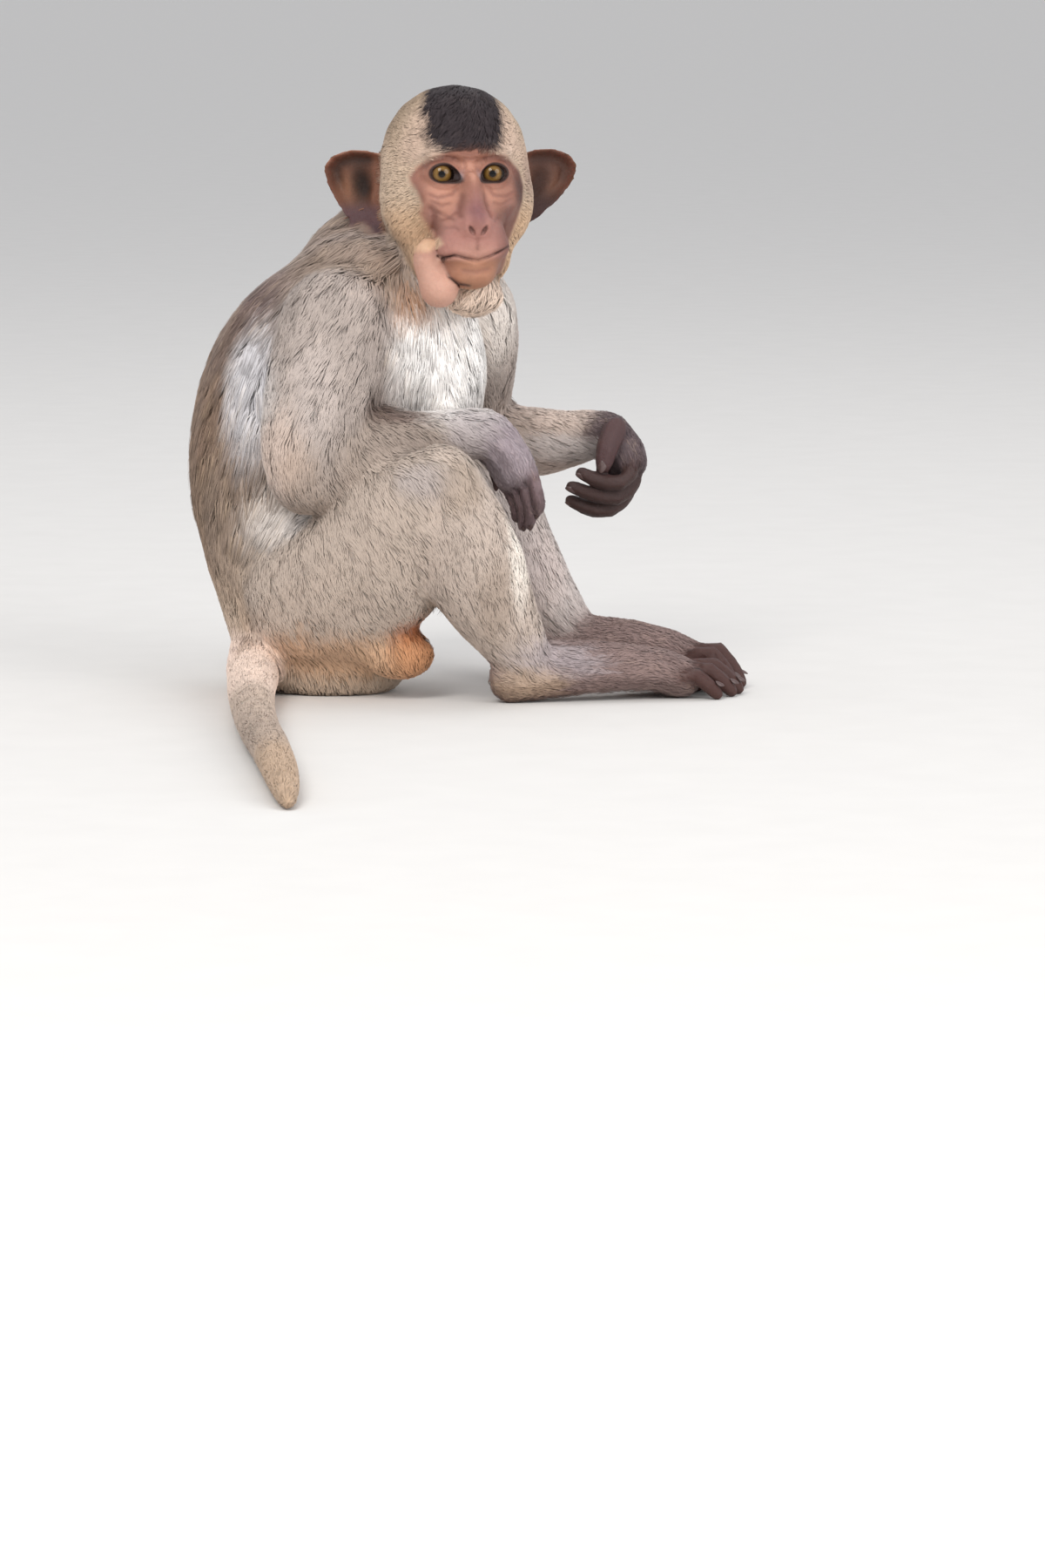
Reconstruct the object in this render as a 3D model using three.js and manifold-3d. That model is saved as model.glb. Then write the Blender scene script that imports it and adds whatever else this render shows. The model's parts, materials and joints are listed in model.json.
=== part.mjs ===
// A sitting juvenile long-tailed macaque, life size, as closed solids out to the tips of its coat.
// Millimetres. +Z is up, +Y is away from the watcher, +X is the side that the feet point to.
// The origin is on the floor under the rump. The animal's right side is the near side, -Y.
import * as THREE from 'three';
import { mergeVertices } from 'three/addons/utils/BufferGeometryUtils.js';
import Module from 'manifold-3d';

const wasm = await Module();
wasm.setup();

// ---------- driving dimensions ----------
const GAP = 0.35;                 // clearance left where two forms touch
const FAR = 900;                  // past every form, for the solids that divide them
const HEAD_AT = [44, -15.6, 269]; // middle of the skull, level with the eyes
const HEAD_YAW = 10;              // degrees the face turns from straight ahead towards +X
const HEAD_PITCH = 4;             // degrees the face tips up
const EYE_RADIUS = 9.2;
const EYE_SPREAD = 13.2;          // half the distance between the eyes' middles
const EYE_FORWARD = 31.6;         // eye middle in front of the skull's middle
const LID_WIDTH = 15.4;           // opening between the corners of the lids
const LID_HEIGHT = 11.4;
const MOUTH_HEIGHT = -43.5;       // mouth line below the eyes
const SKULL_BLEND = 7;            // how softly the forms of the head run together
const EAR_THICKNESS = 3.2;
const EAR_CUP = 6.5;
const LOIN_Z = [68, 121];         // levels where the trunk is divided
const TAIL_CUTS = [-70, -150, -240, -340];
const TOE_RADIUS = 4.7;
const FINGER_RADIUS = 4;

// ---------- colours, roughness ----------
const FUR_GREY = [0x93877a, 0.9];
const FUR_TAN = [0xb39f88, 0.9];
const FUR_PALE = [0xcfc7bd, 0.9];
const SKIN_FACE = [0xb5816b, 0.6];
const SKIN_PALE = [0xdcae9c, 0.55];
const SKIN_DARK = [0x6e5a5c, 0.6];
const SKIN_FOOT = [0x8d7474, 0.65];
const IRIS = [0x8f7a3a, 0.08];

// ---------- helpers ----------
const vec = (a) => new THREE.Vector3(a[0], a[1], a[2]);
const rad = THREE.MathUtils.degToRad;

function enclosedVolume(points, corners) {
  const at = (i) => new THREE.Vector3().fromArray(points, corners[i] * 3);
  let volume = 0;
  for (let i = 0; i < corners.length; i += 3) {
    volume += at(i).dot(at(i + 1).cross(at(i + 2))) / 6;
  }
  return volume;
}

// A closed geometry as a solid, its faces turned outwards.
function solidOf(geometry) {
  geometry.deleteAttribute('normal');
  geometry.deleteAttribute('uv');
  const merged = mergeVertices(geometry, 1e-4);
  const vertProperties = Float32Array.from(merged.attributes.position.array);
  const triVerts = Uint32Array.from(merged.index.array);
  if (enclosedVolume(vertProperties, triVerts) < 0) triVerts.reverse();
  return new wasm.Manifold(new wasm.Mesh({ numProp: 3, vertProperties, triVerts }));
}

// A sphere whose every vertex is moved to place(way, turn): way runs 0 to 1 from pole to pole.
function drape(sides, rows, place) {
  const geometry = new THREE.SphereGeometry(1, sides, rows);
  const position = geometry.attributes.position;
  const uv = geometry.attributes.uv;
  for (let i = 0; i < position.count; i += 1) {
    const way = 1 - uv.getY(i);
    const pole = way < 1e-6 || way > 1 - 1e-6;
    const p = place(way, pole ? 0 : uv.getX(i) * 2 * Math.PI);
    position.setXYZ(i, p.x, p.y, p.z);
  }
  return solidOf(geometry);
}

// A limb: rings of two radii along a smooth path, closed by a round cap at each end.
// A station is [x, y, z, radius in the limb's plane, radius along its side vector].
// `level` turns the rings from square across the path (0) towards lying level (1).
function limb(stations, side, grow = 0, shape = {}) {
  const { sides = 10, rows = 11, cap = [1, 1], capRows = 3, level = 0 } = shape;
  const path = new THREE.CatmullRomCurve3(stations.map(vec));
  const size = new THREE.CatmullRomCurve3(
    stations.map((s) => new THREE.Vector3(s[3], s[4], 0)), false, 'catmullrom', 0.5);
  const lean = Array.isArray(side[0])
    ? new THREE.CatmullRomCurve3(side.map(vec), false, 'catmullrom', 0.5)
    : null;
  return drape(sides, rows, (way, turn) => {
    const row = way * rows;
    const t = THREE.MathUtils.clamp((row - capRows) / (rows - 2 * capRows), 0, 1);
    const end = Math.min(row, rows - row) / capRows;
    const swell = end < 1 ? Math.sin(end * Math.PI / 2) : 1;
    const reach = end < 1 ? Math.cos(end * Math.PI / 2) : 0;
    const tangent = path.getTangent(t).lerp(new THREE.Vector3(0, 0, 1), level).normalize();
    const across = (lean ? lean.getPoint(t) : vec(side)).addScaledVector(
      tangent, -(lean ? lean.getPoint(t) : vec(side)).dot(tangent)).normalize();
    const up = across.clone().cross(tangent);
    const ring = size.getPoint(t);
    const capSize = (Math.min(ring.x, ring.y) * cap[t < 0.5 ? 0 : 1] + grow) * reach;
    return path.getPoint(t)
      .addScaledVector(tangent, t < 0.5 ? -capSize : capSize)
      .addScaledVector(up, -Math.cos(turn) * swell * (ring.x + grow))
      .addScaledVector(across, Math.sin(turn) * swell * (ring.y + grow));
  });
}

function box(low, high) {
  const size = vec(high).sub(vec(low));
  const geometry = new THREE.BoxGeometry(size.x, size.y, size.z);
  geometry.translate((low[0] + high[0]) / 2, (low[1] + high[1]) / 2, (low[2] + high[2]) / 2);
  return solidOf(geometry);
}

function slab(axis, from, to) {
  const low = [-FAR, -FAR, -FAR];
  const high = [FAR, FAR, FAR];
  low[axis] = from;
  high[axis] = to;
  return box(low, high);
}

function biggest(solid) {
  return solid.decompose().reduce((a, b) => (b.volume() > a.volume() ? b : a));
}

// ---------- head, in its own frame: x forward, y to its left, z up ----------
const headFrame = new THREE.Matrix4().makeRotationZ(rad(HEAD_YAW - 90))
  .multiply(new THREE.Matrix4().makeRotationY(rad(-HEAD_PITCH)))
  .setPosition(vec(HEAD_AT));
const onHead = (x, y, z) => new THREE.Vector3(x, y, z).applyMatrix4(headFrame);

// Each form of the head is [x, y, z, length, width, height] as a half-size; y is mirrored.
const SKULL_FORMS = {
  cranium: [-8, 0.6, 10, 46, 37, 37.5],
  back: [-20, 0, -8, 32, 33, 32],
  cheekFur: [0, 14, -13, 33, 26, 29],
  brow: [34, 9, 9.5, 8.5, 13, 5.5],
  midface: [29, 0, -12, 17.5, 24, 22],
  cheekbone: [31, 17, -12, 9, 9, 8],
  muzzle: [42, 0, -32, 18, 17.5, 14],
  lip: [50, 8, -38, 8, 10, 7.5],
  bridge: [47, 0, -13, 9, 6, 14],
  noseTip: [56, 0, -26, 6.5, 8, 6],
  jaw: [34, 0, -46, 18, 16, 11],
  chin: [44, 0, -51, 9, 11, 8],
  throat: [8, 0, -42, 28, 26, 20],
};

function formDistance([cx, cy, cz, a, b, c], x, y, z) {
  const dx = x - cx;
  const dy = Math.abs(y) - cy;
  const dz = z - cz;
  const near = Math.hypot(dx / a, dy / b, dz / c);
  const steep = Math.hypot(dx / (a * a), dy / (b * b), dz / (c * c));
  return steep < 1e-9 ? -Math.min(a, b, c) : near * (near - 1) / steep;
}

function headDistance(x, y, z) {
  let sum = 0;
  for (const form of Object.values(SKULL_FORMS)) {
    sum += Math.exp(-formDistance(form, x, y, z) / (SKULL_BLEND / 3));
  }
  return -Math.log(sum) * (SKULL_BLEND / 3);
}

function headForm(grow) {
  const middle = [10, 0, -9];
  return drape(24, 21, (way, turn) => {
    const tilt = (0.6 + 0.4 * way) * way * Math.PI; // rows crowd towards the face
    const ray = [Math.cos(tilt), Math.cos(turn) * Math.sin(tilt), -Math.sin(turn) * Math.sin(tilt)];
    let outside = 100;
    let inside = 0;
    for (let step = 100; step > 0; step -= 2) {
      if (headDistance(...middle.map((m, i) => m + ray[i] * step)) < grow) {
        inside = step;
        break;
      }
      outside = step;
    }
    for (let i = 0; i < 14; i += 1) {
      const mid = (inside + outside) / 2;
      if (headDistance(...middle.map((m, k) => m + ray[k] * mid)) < grow) inside = mid;
      else outside = mid;
    }
    return onHead(...middle.map((m, i) => m + ray[i] * inside));
  });
}

// An ellipsoid in the head's frame.
function headBall([x, y, z, a, b, c], grow = 0, sides = 12, rows = 8) {
  return drape(sides, rows, (way, turn) => {
    const tilt = way * Math.PI;
    return onHead(
      x + (a + grow) * Math.cos(tilt),
      y + (b + grow) * Math.cos(turn) * Math.sin(tilt),
      z - (c + grow) * Math.sin(turn) * Math.sin(tilt));
  });
}

const eyeForm = (side, grow) => headBall(
  [EYE_FORWARD, side * EYE_SPREAD, 0, EYE_RADIUS, EYE_RADIUS, EYE_RADIUS], grow, 12, 8);

const lidOpening = (side) => headBall(
  [EYE_FORWARD + 10, side * (EYE_SPREAD + 0.2), 0, 9.5, LID_WIDTH / 2, LID_HEIGHT / 2], 0, 10, 6);

// ---------- ears ----------
// Outline from the root outwards: [out from the head, up], then mirrored for the other ear.
const EAR_OUTLINE = [[-5, 12], [6, 16.5], [19, 17.5], [30, 14.5], [35.5, 8], [33, -2], [28, -12],
  [22, -21], [15, -28], [6, -29.5], [-1, -25], [-5, -12]];
const EAR_ROOT = [-12, 36, -2];
// sweep: degrees turned back. tuck: how far the lobe goes in below the tip. drop: how low it hangs.
const EARS = {
  left: { side: 1, sweep: 22, tuck: 0.32, drop: 0.84 },
  right: { side: -1, sweep: 33, tuck: 0, drop: 0.97 },
};

function earForm({ side, sweep, tuck, drop }, grow) {
  const rim = new THREE.CatmullRomCurve3(
    EAR_OUTLINE.map(([out, up]) => new THREE.Vector3(
      out + tuck * Math.min(up, 0), up < 0 ? up * drop : up, 0)), true);
  const centre = new THREE.Vector3(13, -4, 0);
  const swing = rad(sweep);
  return drape(15, 7, (way, turn) => {
    const tilt = way * Math.PI;
    const share = Math.sin(tilt);
    const spot = rim.getPoint(turn / (2 * Math.PI)).sub(centre);
    const reach = spot.length();
    spot.multiplyScalar(share * (reach + 2 * grow) / reach).add(centre);
    const cup = -EAR_CUP * (1 - (share * (reach + 2 * grow) / reach) ** 3);
    const flare = cup + Math.cos(tilt) * (EAR_THICKNESS / 2 + 2 * grow);
    const out = EAR_ROOT[1] + spot.x * Math.cos(swing) + flare * Math.sin(swing);
    const back = EAR_ROOT[0] - spot.x * Math.sin(swing) + flare * Math.cos(swing);
    return onHead(back, side * out, EAR_ROOT[2] + spot.y);
  });
}

// ---------- trunk ----------
// Rings up the spine: [x, y, z, half-depth front to back, half-width, degrees turned].
const SPINE = [
  [-27, -7, 7, 44, 37, 26],
  [-24, -8, 29, 54, 45, 26],
  [-37, -2, 58, 47, 47, 28],
  [-48, 2, 92, 48, 46, 31],
  [-44, 4, 124, 56, 50, 36],
  [-30, 5, 157, 66, 56, 42],
  [-17, 4, 187, 64, 58, 47],
  [-8, 3, 210, 50, 48, 47],
  [-2, 2, 224, 34, 34, 40],
];

function trunkForm(grow) {
  const leans = SPINE.map((s) => [Math.sin(rad(s[5])), Math.cos(rad(s[5])), 0]);
  return limb(SPINE, leans, grow, { sides: 18, rows: 16, cap: [0.4, 0.5], level: 0.75 });
}

const NECK = [[-8, 4, 206, 42, 38], [-1, 12, 224, 37, 30], [10, 14, 238, 29, 22], [22, 8, 250, 22, 18]];
const NECK_SIDE = [0.7, 0.71, 0];

// ---------- limbs ----------
const LEG_SIDE = { right: [0.24, 0.93, 0.26], left: [0.06, 0.95, -0.31] };
const FOOT_SIDE = { right: [-0.27, 0.96, 0], left: [0.2, 0.98, 0] };
const ARM_SIDE = { right: [0.27, -0.94, 0.2], left: [-0.44, -0.78, -0.44] };
const HAND_SIDE = { right: [0.66, -0.72, 0.2], left: [0.21, -0.69, 0.69] };

const THIGH = {
  right: [[-36, -34, 45, 39, 28], [-12, -48, 58, 43, 29], [11, -63, 84, 37, 26],
    [29, -75, 109, 26, 21], [37, -78, 117, 20, 18]],
  left: [[-26, 32, 46, 38, 28], [-6, 38, 64, 38, 27], [24, 43, 88, 31, 25],
    [50, 46, 110, 22, 21], [58, 46, 116, 19, 18]],
};
const SHANK = {
  right: [[38, -78, 115, 20, 19], [44, -77, 95, 27, 20], [52, -74, 71, 30, 20],
    [65, -70, 46, 23, 17], [76, -66, 28, 17, 14], [80, -64, 19, 14, 12]],
  left: [[58, 46, 113, 20, 19], [64, 41, 98, 22, 19], [75, 33, 74, 20, 17],
    [90, 25, 50, 16, 15], [102, 19, 31, 14, 12.5], [105, 18, 23, 12.5, 11]],
};
const FOOT = {
  right: [[72, -63, 12.8, 14, 12], [92, -58, 17, 16, 14], [120, -51, 16.5, 13.5, 15],
    [145, -43, 15, 12, 17.5], [159, -39, 10.3, 11.5, 18]],
  left: [[80, 23, 12.8, 14, 12], [102, 18, 19, 17, 14], [126, 12, 21, 15, 15],
    [150, 7, 19, 13, 17], [164, 5, 12, 13.5, 18]],
};
const UPPER_ARM = {
  right: [[-16, -38, 196, 31, 27], [-23, -49, 172, 31, 25], [-30, -60, 145, 28, 22],
    [-34, -65, 123, 24, 20], [-35, -66, 117, 20, 18]],
  left: [[43, 40, 198, 34, 28], [47, 56, 174, 32, 25], [45, 74, 148, 27.5, 22],
    [40, 88, 124, 22, 19], [39, 91, 117, 18, 17]],
};
const FOREARM = {
  right: [[-35, -65, 117, 21, 18], [-13, -58, 124, 24, 18], [12, -50, 130, 20, 16],
    [36, -41, 134, 16, 13.5], [57, -34, 138, 13, 12]],
  left: [[39, 90, 117, 20, 17], [58, 80, 122, 22, 18], [80, 64, 124, 21.5, 16],
    [101, 49, 127, 17, 13], [116, 39, 131, 13, 11.5]],
};
const PALM = {
  right: [[60, -34, 138, 12, 12.5], [69, -36, 127, 10.5, 15], [76, -37, 113, 8.5, 15]],
  left: [[118, 37, 132, 12, 13], [128.5, 31, 126, 12, 15.5], [133.5, 25.5, 112, 11, 16]],
};

// ---------- digits ----------
// Each digit runs through its points; the last figure of a point is its thickness share.
const fingerRight = (offset, length) => [
  [75.5 + offset * 0.66, -37 - offset * 0.72, 114 + offset * 0.2, 1.05],
  [79.5 + offset * 0.56, -37 - offset * 0.64, 113 - length * 0.42, 1.05],
  [81 + offset * 0.48, -34 - offset * 0.56, 113 - length * 0.8, 0.95],
  [79.5 + offset * 0.42, -31 - offset * 0.5, 113 - length, 0.75],
];
const fingerLeft = (knuckle, bend, middle, tip) => [
  [...knuckle, 1.15], [...bend, 1.15], [...middle, 1.1], [...tip, 0.95],
];
const toe = (x, y, z, heading, length, arch, tip) => {
  const dx = Math.cos(rad(heading));
  const dy = Math.sin(rad(heading));
  return [
    [x, y, z, 1.05],
    [x + dx * length * 0.4, y + dy * length * 0.4, z + arch, 1.05],
    [x + dx * length * 0.8, y + dy * length * 0.8, z * 0.55 + arch * 0.4 + 0.5, 1],
    [x + dx * length, y + dy * length, tip, 0.85],
  ];
};

const DIGITS = {
  thumb_right: [[[66, -26, 131, 1.3], [64, -21.5, 121, 1.25], [66, -21, 110, 1]], FINGER_RADIUS],
  index_right: [fingerRight(-12, 21), FINGER_RADIUS * 0.95],
  middle_right: [fingerRight(-4, 25), FINGER_RADIUS * 0.95],
  ring_right: [fingerRight(4, 24), FINGER_RADIUS * 0.95],
  little_right: [fingerRight(12, 18), FINGER_RADIUS * 0.88],
  thumb_left: [[[127, 17, 135, 1.7], [123, 11.5, 126, 1.6], [121, 9, 117.5, 1.3]], FINGER_RADIUS],
  index_left: [fingerLeft(
    [136, 15, 115], [132, 9.5, 108], [120.5, 8.5, 107.5], [109.5, 11, 112]), FINGER_RADIUS],
  middle_left: [fingerLeft(
    [137, 21, 107], [130.5, 16, 99.5], [117.5, 13.5, 100], [104.5, 15.5, 104.5]), FINGER_RADIUS],
  ring_left: [fingerLeft(
    [134, 27, 101], [126.5, 22.5, 92.5], [114.5, 20, 92.5], [104, 22.5, 96.5]), FINGER_RADIUS],
  little_left: [fingerLeft(
    [130, 33, 97], [123, 30, 91], [114, 28, 91], [106, 30, 94.5]), FINGER_RADIUS * 0.92],
  hallux_right: [toe(134, -31, 10, 24, 27, 1, 3.8), TOE_RADIUS * 1.15],
  toe_2_right: [toe(163, -24.5, 11, 15, 24, 4, 3.1), TOE_RADIUS * 0.95],
  toe_3_right: [toe(165, -34, 11.5, 12, 26, 4.5, 3.1), TOE_RADIUS],
  toe_4_right: [toe(163, -43.8, 11, 8, 24, 4, 3.1), TOE_RADIUS * 0.95],
  toe_5_right: [toe(158, -53, 10, 3, 21, 3, 2.9), TOE_RADIUS * 0.9],
  hallux_left: [toe(143, -9, 13, -18, 27, 2, 3.6), TOE_RADIUS * 1.15],
  toe_2_left: [toe(166, -10, 14.5, -10, 23, 5.5, 3.2), TOE_RADIUS],
  toe_3_left: [toe(169, 0, 15, -7, 24, 6, 3.2), TOE_RADIUS],
  toe_4_left: [toe(168, 10, 14.5, -2, 22, 5, 3.2), TOE_RADIUS * 0.97],
  toe_5_left: [toe(162, 19, 12, 4, 20, 4, 3), TOE_RADIUS * 0.92],
};

function digitForm([points, radius], grow) {
  const stations = points.map(([x, y, z, share]) => [x, y, z, radius * share, radius * share]);
  const bend = vec(points[points.length - 1]).sub(vec(points[0]));
  const side = bend.cross(new THREE.Vector3(0.1, 0.2, 1)).normalize();
  return limb(stations, side.toArray(), grow, { sides: 6, rows: 9, capRows: 2 });
}

// ---------- tail ----------
const TAIL = [[-46, 8, 36, 15, 15], [-58, -4, 25, 15, 15], [-62, -27, 16.4, 14.6, 14.6],
  [-61, -60, 13.4, 13.8, 13.8], [-60, -105, 12.3, 12.7, 12.7], [-57, -160, 11.2, 11.6, 11.6],
  [-51, -235, 10, 10.4, 10.4], [-42, -310, 9.4, 9.8, 9.8], [-34, -385, 8.4, 8.8, 8.8],
  [-30, -430, 6.4, 6.8, 6.8], [-28, -452, 3.6, 4, 4]];

const tailForm = (grow) => limb(TAIL, [0, 0, 1], grow, { sides: 9, rows: 22 });

// ---------- assembly: each form gives way to the ones before it ----------
const monkey = new THREE.Group();
monkey.name = 'monkey';
const floor = box([-FAR, -FAR, -100], [FAR, FAR, 0]);
let taken = null;

function material([colour, roughness]) {
  return new THREE.MeshStandardMaterial({ color: colour, roughness, metalness: 0 });
}

function meshOf(name, solid, look, anchor) {
  const mesh = solid.translate(anchor.map((a) => -a)).getMesh();
  const geometry = new THREE.BufferGeometry();
  geometry.setAttribute('position', new THREE.BufferAttribute(
    Float32Array.from(mesh.vertProperties), mesh.numProp));
  geometry.setIndex(new THREE.BufferAttribute(Uint32Array.from(mesh.triVerts), 1));
  geometry.computeVertexNormals();
  const part = new THREE.Mesh(geometry, material(look));
  part.name = name;
  part.position.fromArray(anchor);
  return part;
}

// Adds one form, divided where `pieces` names more than one node and the space of each.
function place(group, form, pieces, anchor, open = null) {
  let whole = form(0).subtract(floor);
  if (taken) whole = whole.subtract(taken);
  if (open) whole = whole.subtract(open);
  for (const [name, look, space] of pieces) {
    const solid = biggest(space ? whole.intersect(space) : whole);
    group.add(meshOf(name, solid, look, anchor));
  }
  taken = taken ? taken.add(form(GAP)) : form(GAP);
}

function groupOf(name) {
  const group = new THREE.Group();
  group.name = name;
  monkey.add(group);
  return group;
}

const head = groupOf('head_group');
for (const [name, side] of [['eye_left', 1], ['eye_right', -1]]) {
  place(head, (g) => eyeForm(side, g), [[name, IRIS, null]],
    onHead(EYE_FORWARD, side * EYE_SPREAD, 0).toArray());
}

// The lower jaw is the part of the head in front of the throat and below the mouth line.
function jawSpace(grow) {
  const low = -90;
  const corners = [[16 - grow, low], [90, low], [90, MOUTH_HEIGHT + grow], [16 - grow, MOUTH_HEIGHT + grow]];
  const shape = new THREE.Shape(corners.map(([x, z]) => new THREE.Vector2(x, z)));
  const geometry = new THREE.ExtrudeGeometry(shape, { depth: 120, bevelEnabled: false });
  geometry.translate(0, 0, -60);
  geometry.rotateX(Math.PI / 2);
  geometry.applyMatrix4(headFrame);
  return solidOf(geometry);
}

place(head, headForm, [
  ['head', FUR_TAN, slab(2, -FAR, FAR).subtract(jawSpace(GAP / 2))],
  ['lower_jaw', SKIN_FACE, jawSpace(-GAP / 2)],
], HEAD_AT, lidOpening(1).add(lidOpening(-1)));

const POUCH = [33, -17.5, -52, 14, 11.5, 16.5];
place(head, (g) => headBall(POUCH, g, 11, 8), [['cheek_pouch', SKIN_PALE, null]],
  onHead(...POUCH.slice(0, 3)).toArray());
place(head, (g) => earForm(EARS.left, g), [['ear_left', SKIN_DARK, null]],
  onHead(...EAR_ROOT).toArray());
place(head, (g) => earForm(EARS.right, g), [['ear_right', SKIN_DARK, null]],
  onHead(EAR_ROOT[0], -EAR_ROOT[1], EAR_ROOT[2]).toArray());

const body = groupOf('body_group');
place(body, trunkForm, [
  ['rump', FUR_GREY, slab(2, -FAR, LOIN_Z[0] - GAP / 2)],
  ['loin', FUR_GREY, slab(2, LOIN_Z[0] + GAP / 2, LOIN_Z[1] - GAP / 2)],
  ['chest', FUR_PALE, slab(2, LOIN_Z[1] + GAP / 2, FAR)],
], [0, 0, 0]);
place(body, (g) => limb(NECK, NECK_SIDE, g, { sides: 10, rows: 7, capRows: 2 }),
  [['neck', FUR_GREY, null]], NECK[0].slice(0, 3));

for (const side of ['right', 'left']) {
  const leg = groupOf(`leg_group_${side}`);
  place(leg, (g) => limb(THIGH[side], LEG_SIDE[side], g, { sides: 12, rows: 11 }),
    [[`thigh_${side}`, FUR_TAN, null]], THIGH[side][0].slice(0, 3));
  place(leg, (g) => limb(SHANK[side], LEG_SIDE[side], g),
    [[`shank_${side}`, FUR_TAN, null]], SHANK[side][0].slice(0, 3));
  place(leg, (g) => limb(FOOT[side], FOOT_SIDE[side], g),
    [[`foot_${side}`, SKIN_FOOT, null]], FOOT[side][0].slice(0, 3));
}

for (const side of ['right', 'left']) {
  const arm = groupOf(`arm_group_${side}`);
  place(arm, (g) => limb(UPPER_ARM[side], ARM_SIDE[side], g),
    [[`upper_arm_${side}`, FUR_GREY, null]], UPPER_ARM[side][0].slice(0, 3));
  place(arm, (g) => limb(FOREARM[side], ARM_SIDE[side], g),
    [[`forearm_${side}`, FUR_GREY, null]], FOREARM[side][0].slice(0, 3));
  place(arm, (g) => limb(PALM[side], HAND_SIDE[side], g, { sides: 9, rows: 7, cap: [0.7, 0.5], capRows: 2 }),
    [[`hand_${side}`, SKIN_DARK, null]], PALM[side][0].slice(0, 3));
}

for (const [name, digit] of Object.entries(DIGITS)) {
  const look = name.includes('toe') || name.includes('hallux') ? SKIN_FOOT : SKIN_DARK;
  place(monkey.getObjectByName(
    `${look === SKIN_FOOT ? 'leg' : 'arm'}_group_${name.endsWith('left') ? 'left' : 'right'}`),
  (g) => digitForm(digit, g), [[name, look, null]], digit[0][0].slice(0, 3));
}

const tail = groupOf('tail_group');
const tailLevels = [FAR, ...TAIL_CUTS, -FAR];
place(tail, tailForm, tailLevels.slice(1).map((end, i) => [
  `tail_${i + 1}`, FUR_GREY, slab(1, end + GAP / 2, tailLevels[i] - GAP / 2),
]), TAIL[0].slice(0, 3));

export default monkey;
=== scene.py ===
# %% [markdown]
# # A young long-tailed macaque, sitting, life size
# The model is a museum piece: one skin from nose to tail, two glossy eyes, twenty nails, and a coat
# of many thousands of small tufts that lie the way hair grows. The solids that the skin is made from
# already have the pose and the size. They are opened first, and nothing moves them.

# %% Open the frame
import bpy, bmesh, json, math
import numpy as np
from mathutils import Vector, Matrix
from mathutils.bvhtree import BVHTree
from mathutils.kdtree import KDTree

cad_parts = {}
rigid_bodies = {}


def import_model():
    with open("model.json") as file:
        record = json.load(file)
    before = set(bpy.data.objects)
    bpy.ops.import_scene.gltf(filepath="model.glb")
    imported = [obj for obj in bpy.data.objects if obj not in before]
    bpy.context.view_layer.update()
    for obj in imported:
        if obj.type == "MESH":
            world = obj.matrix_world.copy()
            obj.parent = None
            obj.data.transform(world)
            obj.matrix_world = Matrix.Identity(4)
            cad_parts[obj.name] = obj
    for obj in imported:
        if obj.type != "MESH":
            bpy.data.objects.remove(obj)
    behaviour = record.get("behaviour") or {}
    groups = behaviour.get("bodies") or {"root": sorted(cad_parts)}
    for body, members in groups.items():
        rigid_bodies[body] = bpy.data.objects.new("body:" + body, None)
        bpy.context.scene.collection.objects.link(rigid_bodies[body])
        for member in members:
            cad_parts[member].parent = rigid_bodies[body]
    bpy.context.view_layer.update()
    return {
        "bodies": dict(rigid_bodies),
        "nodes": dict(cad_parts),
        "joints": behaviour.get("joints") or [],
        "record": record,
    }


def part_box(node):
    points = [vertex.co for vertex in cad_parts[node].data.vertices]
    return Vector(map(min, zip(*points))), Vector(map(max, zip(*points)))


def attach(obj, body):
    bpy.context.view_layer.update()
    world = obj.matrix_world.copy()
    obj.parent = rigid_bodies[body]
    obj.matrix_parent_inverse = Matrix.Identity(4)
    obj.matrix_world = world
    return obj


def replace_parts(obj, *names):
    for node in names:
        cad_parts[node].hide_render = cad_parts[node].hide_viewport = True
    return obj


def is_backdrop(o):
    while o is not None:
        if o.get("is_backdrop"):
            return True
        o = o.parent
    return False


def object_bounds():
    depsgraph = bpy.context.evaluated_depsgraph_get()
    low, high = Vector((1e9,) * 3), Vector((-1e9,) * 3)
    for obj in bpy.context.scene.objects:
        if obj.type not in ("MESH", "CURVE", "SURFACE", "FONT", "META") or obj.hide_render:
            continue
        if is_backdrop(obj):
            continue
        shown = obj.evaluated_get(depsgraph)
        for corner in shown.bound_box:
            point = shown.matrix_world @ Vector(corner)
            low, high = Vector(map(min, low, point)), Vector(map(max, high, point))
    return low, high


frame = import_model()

MM = 0.001
solids = frame["nodes"]
chance = np.random.default_rng(7)

# %% [markdown]
# ## Camera, floor and light
# A long lens from three metres away keeps the animal's proportions. The floor is one pale sheet that
# runs far behind, so no edge shows, and big soft lamps give the coat a gentle shadow side.

# %% Camera
camera = bpy.data.objects.new("camera", bpy.data.cameras.new("camera"))
camera.data.sensor_width, camera.data.lens = 36, 139.13
camera.location, camera.rotation_euler = (0.0782, -3.16886, 0.39385), (math.radians(82), 0, 0)
camera.data.clip_start, camera.data.clip_end = 0.1, 200
bpy.context.scene.collection.objects.link(camera)
bpy.context.scene.camera = camera


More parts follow.
